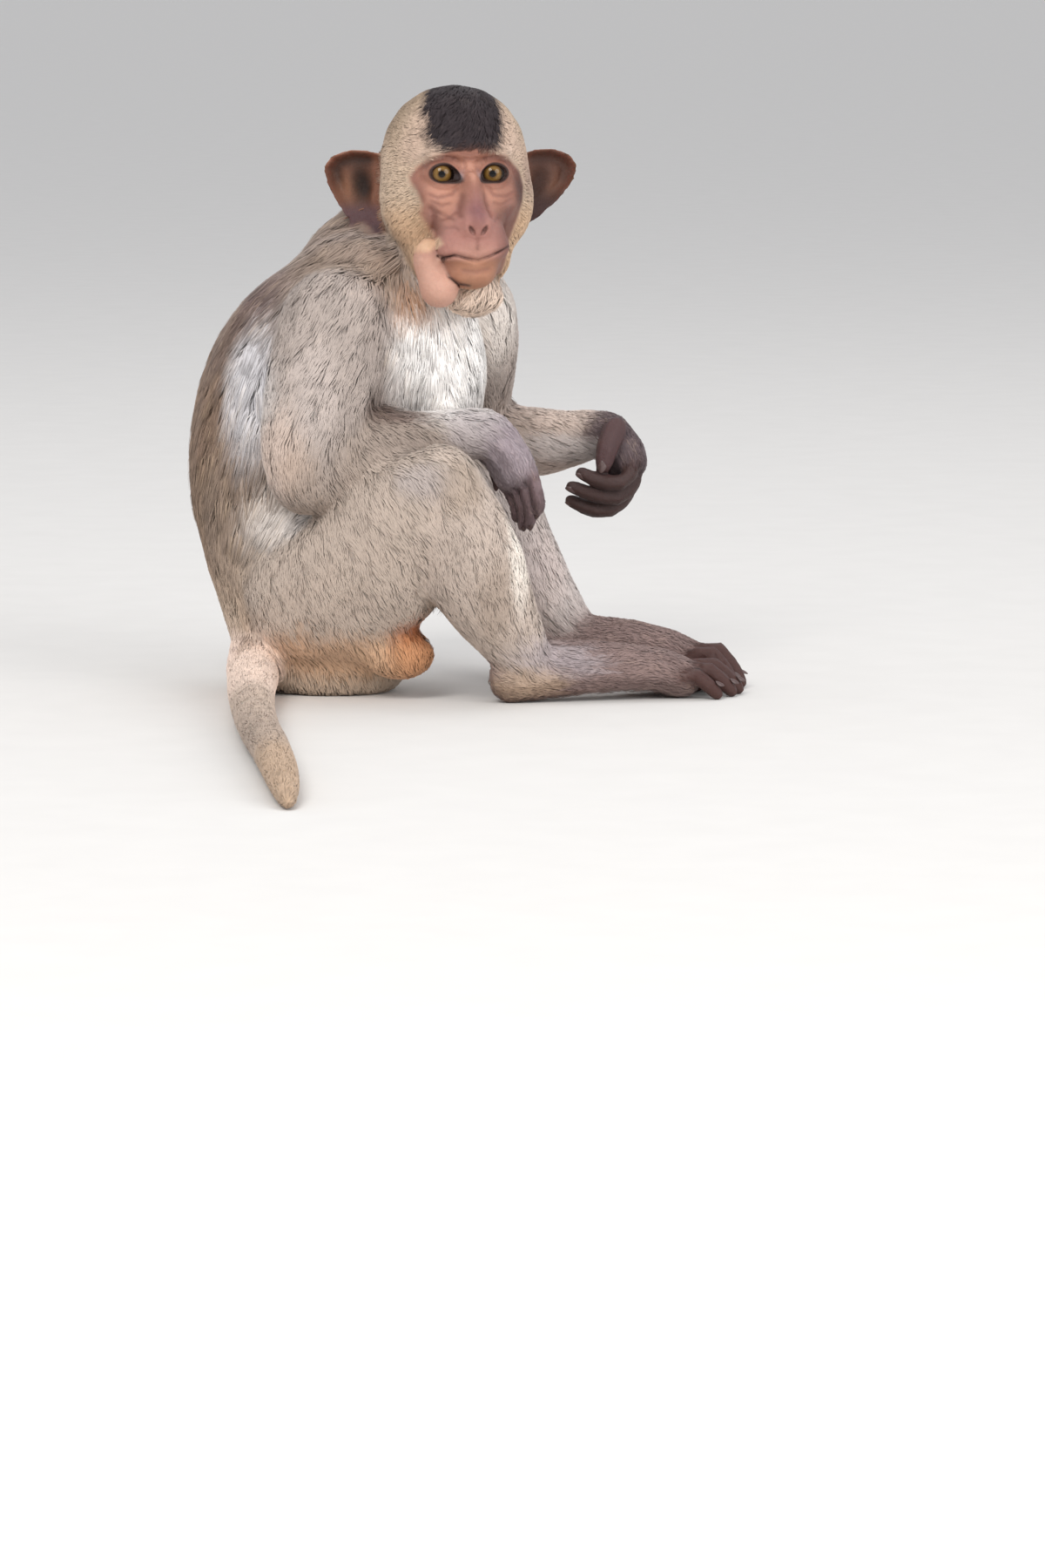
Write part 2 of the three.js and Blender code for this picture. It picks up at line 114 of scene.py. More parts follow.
# %% Wires: shader sums written as plain expressions
class Wire:
    """An output of a node. Sums on it add Math nodes."""

    def __init__(self, finish, socket):
        self.finish, self.socket = finish, socket

    def _sum(self, kind, *values):
        return self.finish.node("ShaderNodeMath", {"operation": kind}, dict(enumerate(values)))

    def __add__(self, other): return self._sum("ADD", self, other)
    def __radd__(self, other): return self._sum("ADD", other, self)
    def __sub__(self, other): return self._sum("SUBTRACT", self, other)
    def __rsub__(self, other): return self._sum("SUBTRACT", other, self)
    def __mul__(self, other): return self._sum("MULTIPLY", self, other)
    def __rmul__(self, other): return self._sum("MULTIPLY", other, self)
    def __truediv__(self, other): return self._sum("DIVIDE", self, other)
    def __pow__(self, other): return self._sum("POWER", self, other)

    def step(self, low, high):
        """0 below low, 1 above high, smooth between."""
        return self.finish.node("ShaderNodeMapRange", {"interpolation_type": "SMOOTHSTEP"},
                                {"Value": self, "From Min": low, "From Max": high})

    def out(self, name):
        """Another output of the same node."""
        return Wire(self.finish, self.socket.node.outputs[name])


class Finish:
    """A material, built node by node."""

    def __init__(self, name, **constants):
        self.material = bpy.data.materials.new(name)
        self.material.use_nodes = True
        self.tree = self.material.node_tree
        self.skin = self.tree.nodes["Principled BSDF"]
        for socket, value in constants.items():
            self.skin.inputs[socket.replace("_", " ")].default_value = value

    def node(self, kind, settings=None, values=None):
        made = self.tree.nodes.new(kind)
        for key, value in (settings or {}).items():
            if key == "stops":
                ramp = made.color_ramp
                while len(ramp.elements) < len(value):
                    ramp.elements.new(0.5)
                for element, (at, colour) in zip(ramp.elements, value):
                    element.position, element.color = at, (*colour, 1)
            else:
                setattr(made, key, value)
        for key, value in (values or {}).items():
            if isinstance(value, Wire):
                self.tree.links.new(value.socket, made.inputs[key])
            else:
                made.inputs[key].default_value = value
        return Wire(self, next(s for s in made.outputs if s.enabled))

    def mix(self, share, first, second, blend="MIX"):
        """Two colours mixed by a share from 0 to 1."""
        made = self.node("ShaderNodeMix", {"data_type": "RGBA", "blend_type": blend},
                         {0: share, 6: first, 7: second})
        return Wire(self, made.socket.node.outputs[2])

    def paint(self, **wires):
        for socket, wire in wires.items():
            self.tree.links.new(wire.socket, self.skin.inputs[socket.replace("_", " ")])
        return self.material


# %% [markdown]
# A colour code is written for a screen, where the steps are even to the eye. Light adds up on
# another scale, so each code is turned into that one before use.

# %% Colours from the eye to the light's scale
def light(code):
    """A screen colour such as 'b39f88' on the scale that light adds up on."""
    even = np.array([int(code[i:i + 2], 16) for i in (0, 2, 4)]) / 255
    return np.where(even <= 0.04045, even / 12.92, ((even + 0.055) / 1.055) ** 2.4)


# %% Floor and lamps
bm = bmesh.new()
bmesh.ops.create_grid(bm, x_segments=1, y_segments=1, size=60)
floor = bpy.data.objects.new("floor", bpy.data.meshes.new("floor"))
bm.to_mesh(floor.data)
bm.free()
bpy.context.scene.collection.objects.link(floor)
paper = Finish("floor_paper", Roughness=0.9)
grain = paper.node("ShaderNodeTexNoise", None, {
    "Vector": paper.node("ShaderNodeTexCoord").out("Object"), "Scale": 30.0, "Detail": 3.0})
floor.data.materials.append(paper.paint(Base_Color=paper.mix(
    grain, (*light("dcd9d5"), 1), (*light("e2dfdb"), 1))))
floor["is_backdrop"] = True


def lamp(name, place, aim, size, power, tint=(1, 1, 1)):
    made = bpy.data.objects.new(name, bpy.data.lights.new(name, "AREA"))
    made.data.shape, made.data.size, made.data.energy, made.data.color = "DISK", size, power, tint
    made.location = place
    made.rotation_euler = (Vector(aim) - Vector(place)).to_track_quat("-Z", "Y").to_euler()
    bpy.context.scene.collection.objects.link(made)


lamp("key", (-1.0, -2.9, 2.8), (0, 0, 0.15), 1.8, 72, (1, 0.985, 0.96))
lamp("fill", (2.4, -2.4, 1.5), (0, 0, 0.15), 2.4, 52, (0.98, 0.99, 1))
lamp("top", (0.2, 0.8, 3.0), (0, 0, 0.15), 2.2, 16)
world = bpy.data.worlds.new("room")
world.use_nodes = True
world.node_tree.nodes["Background"].inputs["Color"].default_value = (0.86, 0.88, 0.92, 1)
world.node_tree.nodes["Background"].inputs["Strength"].default_value = 0.8
bpy.context.scene.world = world
bpy.context.scene.view_settings.view_transform = "Standard"

# %% [markdown]
# ## The head's own frame
# A sculptor turns the head to face them and works from its middle. The two eyeballs give that
# frame here: the line between them points to the animal's left, and the face looks 4 degrees up.
# Lengths in this frame are millimetres, forward, left and up from the middle of the skull.

# %% Head frame from the eyes
EYE_RADIUS, EYE_SPREAD, EYE_FORWARD = 9.2, 13.2, 31.6
LID_BALL = 10.25  # radius of a shut lid over the eyeball
FACE_UP = math.radians(4)
eye_at = {side: sum(map(np.array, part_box(f"eye_{side}"))) / 2 / MM for side in ("right", "left")}
to_left = eye_at["left"] - eye_at["right"]
to_left /= np.linalg.norm(to_left)
ahead = np.cross(to_left, (0, 0, 1)) * math.cos(FACE_UP) + np.array((0, 0, math.sin(FACE_UP)))
axes = np.stack([ahead, to_left, np.cross(ahead, to_left)], 1)
skull = (eye_at["left"] + eye_at["right"]) / 2 - ahead * EYE_FORWARD


def in_head(points):
    return (points / MM - skull) @ axes


def out_of_head(local):
    return (local @ axes.T + skull) * MM


print("skull's middle", skull.round(1), "looks along", ahead.round(2))

# %% [markdown]
# ## One skin from all the solids
# A real hide has no seams, but the solids are cut where a person would name a part. Copies of the
# flesh solids are put in one mesh, and a voxel remesh wraps them all in one closed surface. Two
# balls a little larger than the eyes stand in for shut lids, which are opened again further on, and
# soft eggs fill the breast beside the arm, the throat and the groin, where loose hide hangs.
# Blender's sculptors start the same way: blocks first, then one remesh.

# %% Wrap the solids
SWELL = 0.15  # millimetres that each copy grows, so that the copies meet
VOXEL = 1.0   # millimetres between the points of the wrap
flesh = sorted(n for n in solids if not n.startswith("eye_"))
blocks, owner = bmesh.new(), []
for number, name in enumerate(flesh):
    part = bmesh.new()
    part.from_mesh(solids[name].data)
    bmesh.ops.remove_doubles(part, verts=part.verts, dist=2e-6)
    part.normal_update()
    for v in part.verts:
        v.co += v.normal * SWELL * MM
    copy = bpy.data.meshes.new(name)
    part.to_mesh(copy)
    part.free()
    owner += [number] * len(copy.polygons)
    blocks.from_mesh(copy)
    bpy.data.meshes.remove(copy)

for side in ("right", "left"):
    low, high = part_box(f"eye_{side}")
    lids = bmesh.ops.create_icosphere(blocks, subdivisions=4, radius=LID_BALL * MM)["verts"]
    bmesh.ops.translate(blocks, verts=lids, vec=(low + high) / 2)
    owner += [flesh.index("head")] * (len(blocks.faces) - len(owner))

for name, middle, half in (("chest", np.array((32, -3, 166)), (28, 29, 50)),
                           ("neck", out_of_head(np.array((20, 4, -61.0))) / MM, (18, 18, 13)),
                           ("rump", np.array((14, -53, 24)), (20, 12, 14))):
    pad = bmesh.ops.create_icosphere(blocks, subdivisions=4, radius=MM)["verts"]
    bmesh.ops.scale(blocks, verts=pad, vec=half)
    bmesh.ops.translate(blocks, verts=pad, vec=Vector(middle) * MM)
    owner += [flesh.index(name)] * (len(blocks.faces) - len(owner))


def worked(name, bm, *tools):
    """A bmesh run through modifiers: each tool is (type, settings)."""
    start = bpy.data.objects.new(name, bpy.data.meshes.new(name))
    bm.to_mesh(start.data)
    bpy.context.scene.collection.objects.link(start)
    for kind, settings in tools:
        tool = start.modifiers.new(kind, kind)
        for key, value in settings.items():
            setattr(tool, key, value)
    bpy.context.view_layer.update()
    done = bpy.data.meshes.new_from_object(
        start.evaluated_get(bpy.context.evaluated_depsgraph_get()))
    bpy.data.objects.remove(start)
    return done


wrapped = worked("wrapped", blocks, ("REMESH", {"mode": "VOXEL", "voxel_size": VOXEL * MM}))
blocks.verts.ensure_lookup_table()
solid_finder = BVHTree.FromBMesh(blocks)
owner = np.array(owner)
print(len(wrapped.vertices), "points wrap", len(flesh), "solids")

# %% [markdown]
# The skin is worked on as arrays of numbers from here: where each point is, which solid it came
# from, and which points are its neighbours. Evening out a value between neighbours is what a
# smooth brush does by hand.


# %% The skin as arrays
def places(mesh):
    found = np.empty(len(mesh.vertices) * 3)
    mesh.vertices.foreach_get("co", found)
    return found.reshape(-1, 3)


def pairs(mesh):
    found = np.empty(len(mesh.edges) * 2, np.int64)
    mesh.edges.foreach_get("vertices", found)
    return found.reshape(-1, 2)


def evened(values, edges, rounds, strength=0.5):
    """Values pulled towards the mean of their neighbours, round after round."""
    values = np.array(values, float)
    flat = values.reshape(len(values), -1)
    a, b = edges[:, 0], edges[:, 1]
    count = np.bincount(np.concatenate([a, b]), minlength=len(flat)).clip(1)
    strength = np.broadcast_to(np.asarray(strength, float), (len(flat),))
    for _ in range(rounds):
        for k in range(flat.shape[1]):
            column = flat[:, k]
            near = np.bincount(a, column[b], len(column)) + np.bincount(b, column[a], len(column))
            flat[:, k] = column + strength * (near / count - column)
    return flat.reshape(values.shape)


def parts_of(points):
    """The number of the solid nearest to each point."""
    return owner[np.array([solid_finder.find_nearest(p)[2] for p in points])]


def is_one_of(part, *starts):
    """1 where a point's solid has one of these names or starts of names."""
    match = np.array([any(n.startswith(s) for s in starts) for n in flesh])
    return match[part]


# %% [markdown]
# The bare face has a clear edge where the short hair starts. The edge is a closed outline on the
# front of the head, and the distance to it, in and out, drives the hair, the colour and the mesh.

# %% Bare face outline
FACE_EDGE = [(-29, -1), (-25, 4), (-18.6, 8.1), (-11.8, 10.8), (-6, 12.2), (4, 12.6), (11, 12.2), (17, 9.5),
             (24, 6.5), (30, 1.5), (31.5, -6), (30.5, -14), (28.5, -20), (26, -28),
             (23.5, -36), (22, -44), (19, -52),
             (12, -58), (2, -60.5), (-8, -60), (-13, -68), (-22, -70), (-30, -62), (-29, -50), (-23.5, -42),
             (-17, -36), (-20, -28), (-25, -20.5), (-24.5, -16), (-26.6, -9), (-28.6, -4)]


def inside_edge(outline, y, z):
    """Distance in from a closed outline, in millimetres; less than 0 outside it."""
    far, crossings = np.full(len(y), 1e9), np.zeros(len(y), int)
    for (ay, az), (by, bz) in zip(outline, outline[1:] + outline[:1]):
        ey, ez = by - ay, bz - az
        t = (((y - ay) * ey + (z - az) * ez) / (ey * ey + ez * ez)).clip(0, 1)
        far = np.minimum(far, np.hypot(y - ay - t * ey, z - az - t * ez))
        crossings += ((az > z) != (bz > z)) & (y < ey * (z - az) / (ez if ez else 1e-9) + ay)
    return np.where(crossings % 2 == 1, far, -far)


def smooth(value, low, high):
    """0 at low, 1 at high, with soft ends."""
    t = ((value - low) / (high - low)).clip(0, 1)
    return t * t * (3 - 2 * t)


def bare_face(local):
    """1 on the bare face, 0 in the hair, from places in the head's frame."""
    return (smooth(inside_edge(FACE_EDGE, local[:, 1], local[:, 2]), -2.0, 2.0)
            * smooth(local[:, 0], 10, 20))


# %% [markdown]
# The trunk is hidden under its coat, so it is evened out well. The bare face, ears, hands and feet
# keep their shape, with just the steps of the remesh taken off.

# %% Where the skin needs fine work
def boxed(points, margin, *starts):
    """1 for points inside the box of any solid with one of these names, margin included."""
    found = np.zeros(len(points))
    for name in flesh:
        if name.startswith(starts):
            low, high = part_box(name)
            found[((points > np.array(low) - margin) & (points < np.array(high) + margin)).all(1)] = 1
    return found


at, edges = places(wrapped), pairs(wrapped)
local = in_head(at)
fine = np.maximum.reduce([
    0.8 * boxed(at, 2 * MM, "hand", "thumb", "index", "middle", "ring", "little", "hallux", "toe"),
    0.55 * boxed(at, 2 * MM, "foot"), 0.85 * boxed(at, 1 * MM, "ear") * (abs(local[:, 1]) > 37),
    bare_face(local) * (local[:, 0] > 22)])
fine = evened(fine, edges, 8)
at = evened(at, edges, 6)
at = evened(at, edges, 40, 0.5 * (1 - smooth(fine, 0.2, 0.6)))
print("fine share", round(float(fine.mean()), 2))

# %% [markdown]
# Where two solids meet, a sliver of air can be left inside. The wrap closes round it as a bubble
# that nobody sees, so only the outermost shell is kept.


# %% Find the bubbles
def shells(count, edges):
    """A label for every point: points joined by edges share the lowest number among them."""
    label = np.arange(count)
    a, b = edges[:, 0], edges[:, 1]
    while True:
        low = np.minimum(label[a], label[b])
        new = label.copy()
        np.minimum.at(new, a, low)
        np.minimum.at(new, b, low)
        new = new[new]
        if (new == label).all():
            return label
        label = new


label = shells(len(at), edges)
names, sizes = np.unique(label, return_counts=True)
bubbles = np.where(label != names[sizes.argmax()])[0]
print(len(names) - 1, "bubbles of", len(bubbles), "points")

# %% [markdown]
# Most of a million faces would only slow the work. A Decimate modifier takes out points where the
# surface is nearly flat and keeps them where it bends, as on the fingers.

# %% Thin the skin
KEPT_SHARE = 0.132
bm = bmesh.new()
bm.from_mesh(wrapped)
for v, p in zip(bm.verts, at):
    v.co = p
bm.verts.ensure_lookup_table()
bmesh.ops.delete(bm, geom=[bm.verts[i] for i in bubbles], context="VERTS")
start = bpy.data.objects.new("thinning", bpy.data.meshes.new("thinning"))
bm.to_mesh(start.data)
bm.free()
bpy.context.scene.collection.objects.link(start)
tool = start.modifiers.new("thin", "DECIMATE")
tool.ratio = KEPT_SHARE
bpy.context.view_layer.update()
thinned = bpy.data.meshes.new_from_object(start.evaluated_get(bpy.context.evaluated_depsgraph_get()))
bpy.data.objects.remove(start)
print(len(thinned.polygons), "faces after thinning")

# %% The thinned skin, as arrays again
def faces_of(mesh):
    """Corner numbers of every face, once all the faces are triangles."""
    shape = bmesh.new()
    shape.from_mesh(mesh)
    bmesh.ops.triangulate(shape, faces=shape.faces[:])
    shape.to_mesh(mesh)
    shape.free()
    found = np.empty(len(mesh.polygons) * 3, np.int64)
    mesh.polygons.foreach_get("vertices", found)
    return found.reshape(-1, 3)


# %% [markdown]
# ## More points for the face
# Lids and lips are a millimetre thick, so the face gets a finer net before it is shaped. Cutting
# each edge in the middle is bmesh's subdivide_edges, and the rim of the eyes is cut once more.

# %% A drawn line on the face
def along(y, z, points):
    """Distance from a drawn line, and how far along it, 0 to 1."""
    best, share = np.full(len(y), 1e9), np.zeros(len(y))
    steps = len(points) - 1
    for i, ((ay, az), (by, bz)) in enumerate(zip(points, points[1:])):
        ey, ez = by - ay, bz - az
        t = (((y - ay) * ey + (z - az) * ez) / (ey * ey + ez * ez)).clip(0, 1)
        d = np.hypot(y - ay - t * ey, z - az - t * ez)
        share = np.where(d < best, (i + t) / steps, share)
        best = np.minimum(best, d)
    return best, share


MOUTH = [(-18, -42), (-15, -42.8), (-11, -42), (-4, -43.8), (1, -44.9), (6, -43.2),
         (14, -39.5), (17.5, -37.5)]


# %% Finer face
bm = bmesh.new()
bm.from_mesh(thinned)
bmesh.ops.triangulate(bm, faces=bm.faces[:])


def cut_where(bm, longest, chosen, frame=in_head):
    """Cuts in two every edge over a length whose ends both lie in the chosen area."""
    inside = chosen(frame(np.array([v.co for v in bm.verts])))
    bm.verts.index_update()
    cut = [e for e in bm.edges if inside[e.verts[0].index] and inside[e.verts[1].index]
           and e.calc_length() > longest * MM]
    bmesh.ops.subdivide_edges(bm, edges=cut, cuts=1, use_grid_fill=False)
    bmesh.ops.triangulate(bm, faces=[f for f in bm.faces if len(f.verts) > 3])
    return len(cut)


def near_eyes(local, reach):
    return np.minimum(*(np.hypot(local[:, 1] - s * EYE_SPREAD, local[:, 2]) for s in (-1, 1))) < reach


print("cut", cut_where(bm, 1.9, lambda p: (abs(p[:, 1]) > 38) & (abs(p[:, 2] + 6) < 26)
                       & (abs(p[:, 0]) < 40)), "edges of the ears")
print("cut", cut_where(bm, 1.6, lambda p: (inside_edge(FACE_EDGE, p[:, 1], p[:, 2]) > -3) & (p[:, 0] > 18)
                       & (p[:, 2] < 14)), "edges on the face")
print("cut", cut_where(bm, 1.0, lambda p: (inside_edge(FACE_EDGE, p[:, 1], p[:, 2]) > 0) & (p[:, 0] > 24)
                       & (p[:, 2] < 11)), "edges on the face")
print("cut", cut_where(bm, 0.7, lambda p: near_eyes(p, 10.5) & (p[:, 0] > 28)), "edges round the eyes")
print("cut", cut_where(bm, 0.45, lambda p: near_eyes(p, 8.5) & (p[:, 0] > 28)), "edges of the lids")
print("cut", cut_where(bm, 0.6, lambda p: (abs(p[:, 1]) < 7) & (abs(p[:, 2] + 28) < 5) & (p[:, 0] > 50)),
      "edges on the nose")
print("cut", cut_where(bm, 0.6, lambda p: (along(p[:, 1], p[:, 2], MOUTH)[0] < 1.6) & (p[:, 0] > 34)),
      "edges at the mouth")
DIGITS = ("thumb", "index", "middle", "ring", "little", "hallux", "toe")
print("cut", cut_where(bm, 1.35, lambda p: boxed(p, 1 * MM, *DIGITS) > 0, lambda p: p),
      "edges of fingers and toes")
skin_mesh = bpy.data.meshes.new("skin")
bm.to_mesh(skin_mesh)
bm.free()
at, edges, corners = places(skin_mesh), pairs(skin_mesh), faces_of(skin_mesh)
part = parts_of(at)
print(len(at), "points,", len(corners), "triangles in the skin")

# %% [markdown]
# ## Shaping the face
# The head's solid is a smooth blend of egg shapes, and the same eggs say here how far any place is
# from the surface. Lids, lips and nostrils are added to that distance, and each point of the net
# slides along the slope until its distance is nought. It is sculpting by rule, so both eyes match.

# %% Egg shapes of the head
EGGS = [[-8, .6, 10, 46, 37, 37.5], [-20, 0, -8, 32, 33, 32], [0, 14, -13, 33, 26, 29],
        [34, 9, 9.5, 8.5, 13, 5.5], [29, 0, -12, 17.5, 24, 22], [31, 17, -12, 9, 9, 8],
        [42, 0, -32, 18, 17.5, 14], [50, 8, -38, 8, 10, 7.5], [47, 0, -13, 9, 6, 14],
        [56, 0, -26, 6.5, 8, 6], [34, 0, -46, 18, 16, 11], [44, 0, -51, 9, 11, 8],
        [8, 0, -42, 28, 26, 20]]
POUCH = [[34, -20.5, -44, 11, 8, 11.5], [37, -15.8, -58.5, 11.5, 9.8, 10]]
EGG_BLEND = 2.333  # millimetres over which the eggs run together


def egg(p, form, mirrored=True):
    d = np.stack([p[:, 0] - form[0], (abs(p[:, 1]) if mirrored else p[:, 1]) - form[1], p[:, 2] - form[2]], 1)
    half = np.array(form[3:])
    near = np.sqrt(((d / half) ** 2).sum(1)) + 1e-9
    return near * (near - 1) / (np.sqrt(((d / half ** 2) ** 2).sum(1)) + 1e-9)


def blend(a, b, width):
    """The nearer of two surfaces, run together softly."""
    h = (0.5 + 0.5 * (b - a) / width).clip(0, 1)
    return b + (a - b) * h - width * h * (1 - h)


def pouch_distance(p):
    return blend(egg(p, POUCH[0], False), egg(p, POUCH[1], False), 7)


def eggs_distance(p):
    total = sum(np.exp(-egg(p, form) / EGG_BLEND) for form in EGGS)
    return blend(-np.log(total) * EGG_BLEND, pouch_distance(p), 3)


# %% Lids, mouth, nostrils and folds
CHIN_FOLD = [(-15.5, -43.5), (-14.5, -48), (-12, -53), (-7.5, -56.5), (-2, -57.5)]
FOLDS = [  # line on the face, depth, half width
    ([(-18, -19), (-13, -22), (-9.5, -25)], 0.45, 0.8), ([(-17, -24.5), (-12, -23), (-8, -19)], 0.4, 0.7),
    ([(-16, -28), (-11, -28), (-8, -30)], 0.3, 0.7), ([(17, -22), (12, -23.5), (9.5, -26)], 0.35, 0.8),
    ([(-4.6, -8), (-5.8, -15), (-7.4, -20), (-7.4, -25)], 0.8, 1.5),
    ([(5.4, -8), (6.6, -15), (8.4, -20), (8.4, -25)], 0.8, 1.5),
    ([(-24, -9), (-17, -12.5), (-10, -11), (-6, -6)], 0.55, 1.0),
    ([(8, -6), (12, -11.5), (19, -12), (26, -8)], 0.55, 1.0),
    ([(-22, -13), (-15, -16.5), (-9, -15)], 0.3, 0.9), ([(10, -15), (16, -16.5), (24, -12)], 0.3, 0.9),
    ([(-22, -15), (-18, -20), (-17, -28), (-19, -34)], 0.9, 1.6),
    ([(24, -16), (20, -21), (18.5, -28), (19, -34)], 0.7, 1.5),
    ([(-31, -2.5), (-25.5, 1.5), (-20, 5.9), (-14, 8.4), (-8, 7.4), (-3.6, 3.4)], 0.9, 1.1),
    ([(29, -1.4), (25, 3), (20, 6.4), (14, 8.2), (8, 7.2), (5, 3.4)], 0.9, 1.1),
    ([(-6, 10.4), (0, 9.4), (6, 10.4)], 0.3, 0.6), ([(-4, 7.8), (0.5, 7.2), (5, 7.8)], 0.3, 0.6),
    ([(-3.4, 7.5), (-2.2, 3.5), (-3.8, -1.5)], 0.4, 0.7), ([(4.4, 7.5), (3.2, 3.5), (4.8, -1.5)], 0.4, 0.7),
    ([(-4, 1.5), (0.5, 0.5), (5, 1.5)], 0.3, 0.6), (CHIN_FOLD, 1.0, 0.7),
    ([(16, -42), (15.5, -47), (12, -53)], 0.5, 0.8),
    ([(-9, -49.5), (0.5, -50.5), (10, -48.5)], 0.4, 1.3), ([(0.6, -33), (0.6, -36), (0.6, -41)], 0.4, 0.9)]


def face_distance(p):
    x, y, z = p.T
    d = eggs_distance(p)
    sockets = []
    for side in (-1, 1):
        ey, ez = (y - side * EYE_SPREAD) * side, z
        r = np.sqrt((x - EYE_FORWARD) ** 2 + ey ** 2 + ez ** 2)
        front = smooth(x, EYE_FORWARD, EYE_FORWARD + 4)
        ring = np.hypot(ey / 1.15, ez)
        d = d + front * 1.3 * np.exp(-((ring - 8.8) / 2.6) ** 2) * smooth(ez, -9, 3)
        d = d + front * 0.7 * np.exp(-((ring - 10) / 2.4) ** 2) * smooth(-ez, -2, 6)
        d = blend(d, r - LID_BALL, 1.6)
        crease = np.hypot(ey * 0.92, (ez + 0.3) * 1.02)
        d = d + front * 0.8 * np.exp(-((crease - 8.2) / 0.6) ** 2) * smooth(ez, -1, 4)
        d = d + front * 0.35 * np.exp(-((crease - 8.6) / 0.7) ** 2) * smooth(-ez, 0, 4)
        tilt = ez + 0.05 * ey + 2.6 * (ey.clip(None, 0) / 8.0) ** 2
        lid = np.where(tilt > 0, tilt / 4.3, tilt / 4.5)
        corner = np.where(ey < 0, ey / 8.0, ey / 6.4)
        opening = (np.sqrt(lid ** 2 + abs(corner) ** 2.3) - 1) * 4.6
        d = d - front * 0.25 * np.exp(-((opening - 0.9) / 0.7) ** 2)
        sockets.append((r, (opening > 0.5) & (x > EYE_FORWARD - 6)))
        cut = blend(-opening * 1.1, r - 8.2, 0.3)
        d = np.where(x > EYE_FORWARD - 6, -blend(-d, -cut, 0.25), d)
    nose = abs(y - 0.6)
    d = d - 1.0 * np.exp(-(nose / 2.8) ** 2) * smooth(z, -30, -22) * smooth(-z, -1, 6) * smooth(x, 36, 42)
    d = d - 0.9 * np.exp(-(nose / 4.2) ** 2 - ((z + 25) / 3.6) ** 2) * smooth(x, 46, 52)
    d = d + 0.7 * np.exp(-(nose / 8) ** 2 - ((z + 34.5) / 2.2) ** 2) * smooth(x, 46, 52)
    slit_y, slit_z = nose - 3.2, z + 29.8
    across = (slit_y * 0.86 - slit_z * 0.51) / 0.95
    down = (slit_y * 0.51 + slit_z * 0.86) / 2.3
    pit = np.exp(-(across ** 2 + down ** 2) ** 1.6) * smooth(x, 46, 52)
    d = d + 3.0 * pit
    wing = np.exp(-((nose - 5.9) / 1.6) ** 2 - ((z + 28) / 3.4) ** 2) * smooth(x, 46, 52)
    d = d - 0.9 * wing
    front = smooth(x, 22, 30)
    gap, share = along(y, z, MOUTH)
    ends = smooth(share, 0, 0.08) * smooth(1 - share, 0, 0.3)
    d = d + front * ends * (1.7 * np.exp(-(gap / 0.55) ** 2) - 0.45 * np.exp(-((gap - 2.2) / 1.3) ** 2))
    for line, depth, wide in FOLDS:
        gap, share = along(y, z, line)
        d = d + front * depth * np.exp(-(gap / wide) ** 2) * smooth(share, 0, 0.2) * smooth(1 - share, 0, 0.2)
    for r, lid_skin in sockets:
        d = np.where(lid_skin, np.minimum(d, r - 9.65), d)
    return d


# %% [markdown]
# ## Ears
# A macaque's ear is a thin leaf with a rim that rolls forward, a groove inside the rim, a ridge
# inside the groove, and a deep hollow by the head. The leaf is bent by its distance from its edge.

# %% Bend the ears
EAR_EDGE = [(-5, 12), (6, 16.5), (19, 17.5), (30, 14.5), (35.5, 8), (33, -2), (28, -12), (22, -21), (15, -28),
            (6, -29.5), (-1, -25), (-5, -12)]


def ear_swing(left):
    """How far each ear is swept back."""
    return np.where(left, math.radians(22), math.radians(33))


def ear_place(local):
    """Out along the ear, up, forward of its leaf, and the distance in from its edge."""
    left = local[:, 1] > 0
    swing = ear_swing(left)
    side, fore, v = abs(local[:, 1]) - 36, local[:, 0] + 12, local[:, 2] + 2
    u = side * np.cos(swing) - fore * np.sin(swing)
    flare = side * np.sin(swing) + fore * np.cos(swing)
    v = np.where(v < 0, v / np.where(left, 0.84, 0.97), v)
    u = u - np.where(left, 0.32, 0) * np.minimum(v, 0)
    return u, v, flare, inside_edge(EAR_EDGE, u, v)


local = in_head(at)
u, v, flare, rim = ear_place(local)
ears = evened(is_one_of(part, "ear").astype(float), edges, 2) * smooth(u, -2, 4)
bend = (2.2 * np.exp(-((rim - 1.6) / 1.5) ** 2) * smooth(v, -22, 4)
        - 2.0 * np.exp(-((rim - 5.4) / 2.4) ** 2) * smooth(v, -16, 2)
        + 1.4 * np.exp(-((u - 21) / 3.5) ** 2 - ((v - 1) / 9) ** 2)
        - 3.6 * np.exp(-((u - 14) / 4) ** 2 - ((v + 3) / 7) ** 2)
        + 2.6 * np.exp(-((u - 8.5) / 2.4) ** 2 - ((v + 9) / 4) ** 2))
swing = ear_swing(local[:, 1] > 0)
leaf = np.stack([np.cos(swing), np.sign(local[:, 1]) * np.sin(swing), 0 * swing], 1)
at = out_of_head(local + leaf * (bend * ears)[:, None])
at = evened(at, edges, 2, 0.4 * ears)
print("ears bent by", round(float(abs(bend * ears).max()), 1), "mm at most")

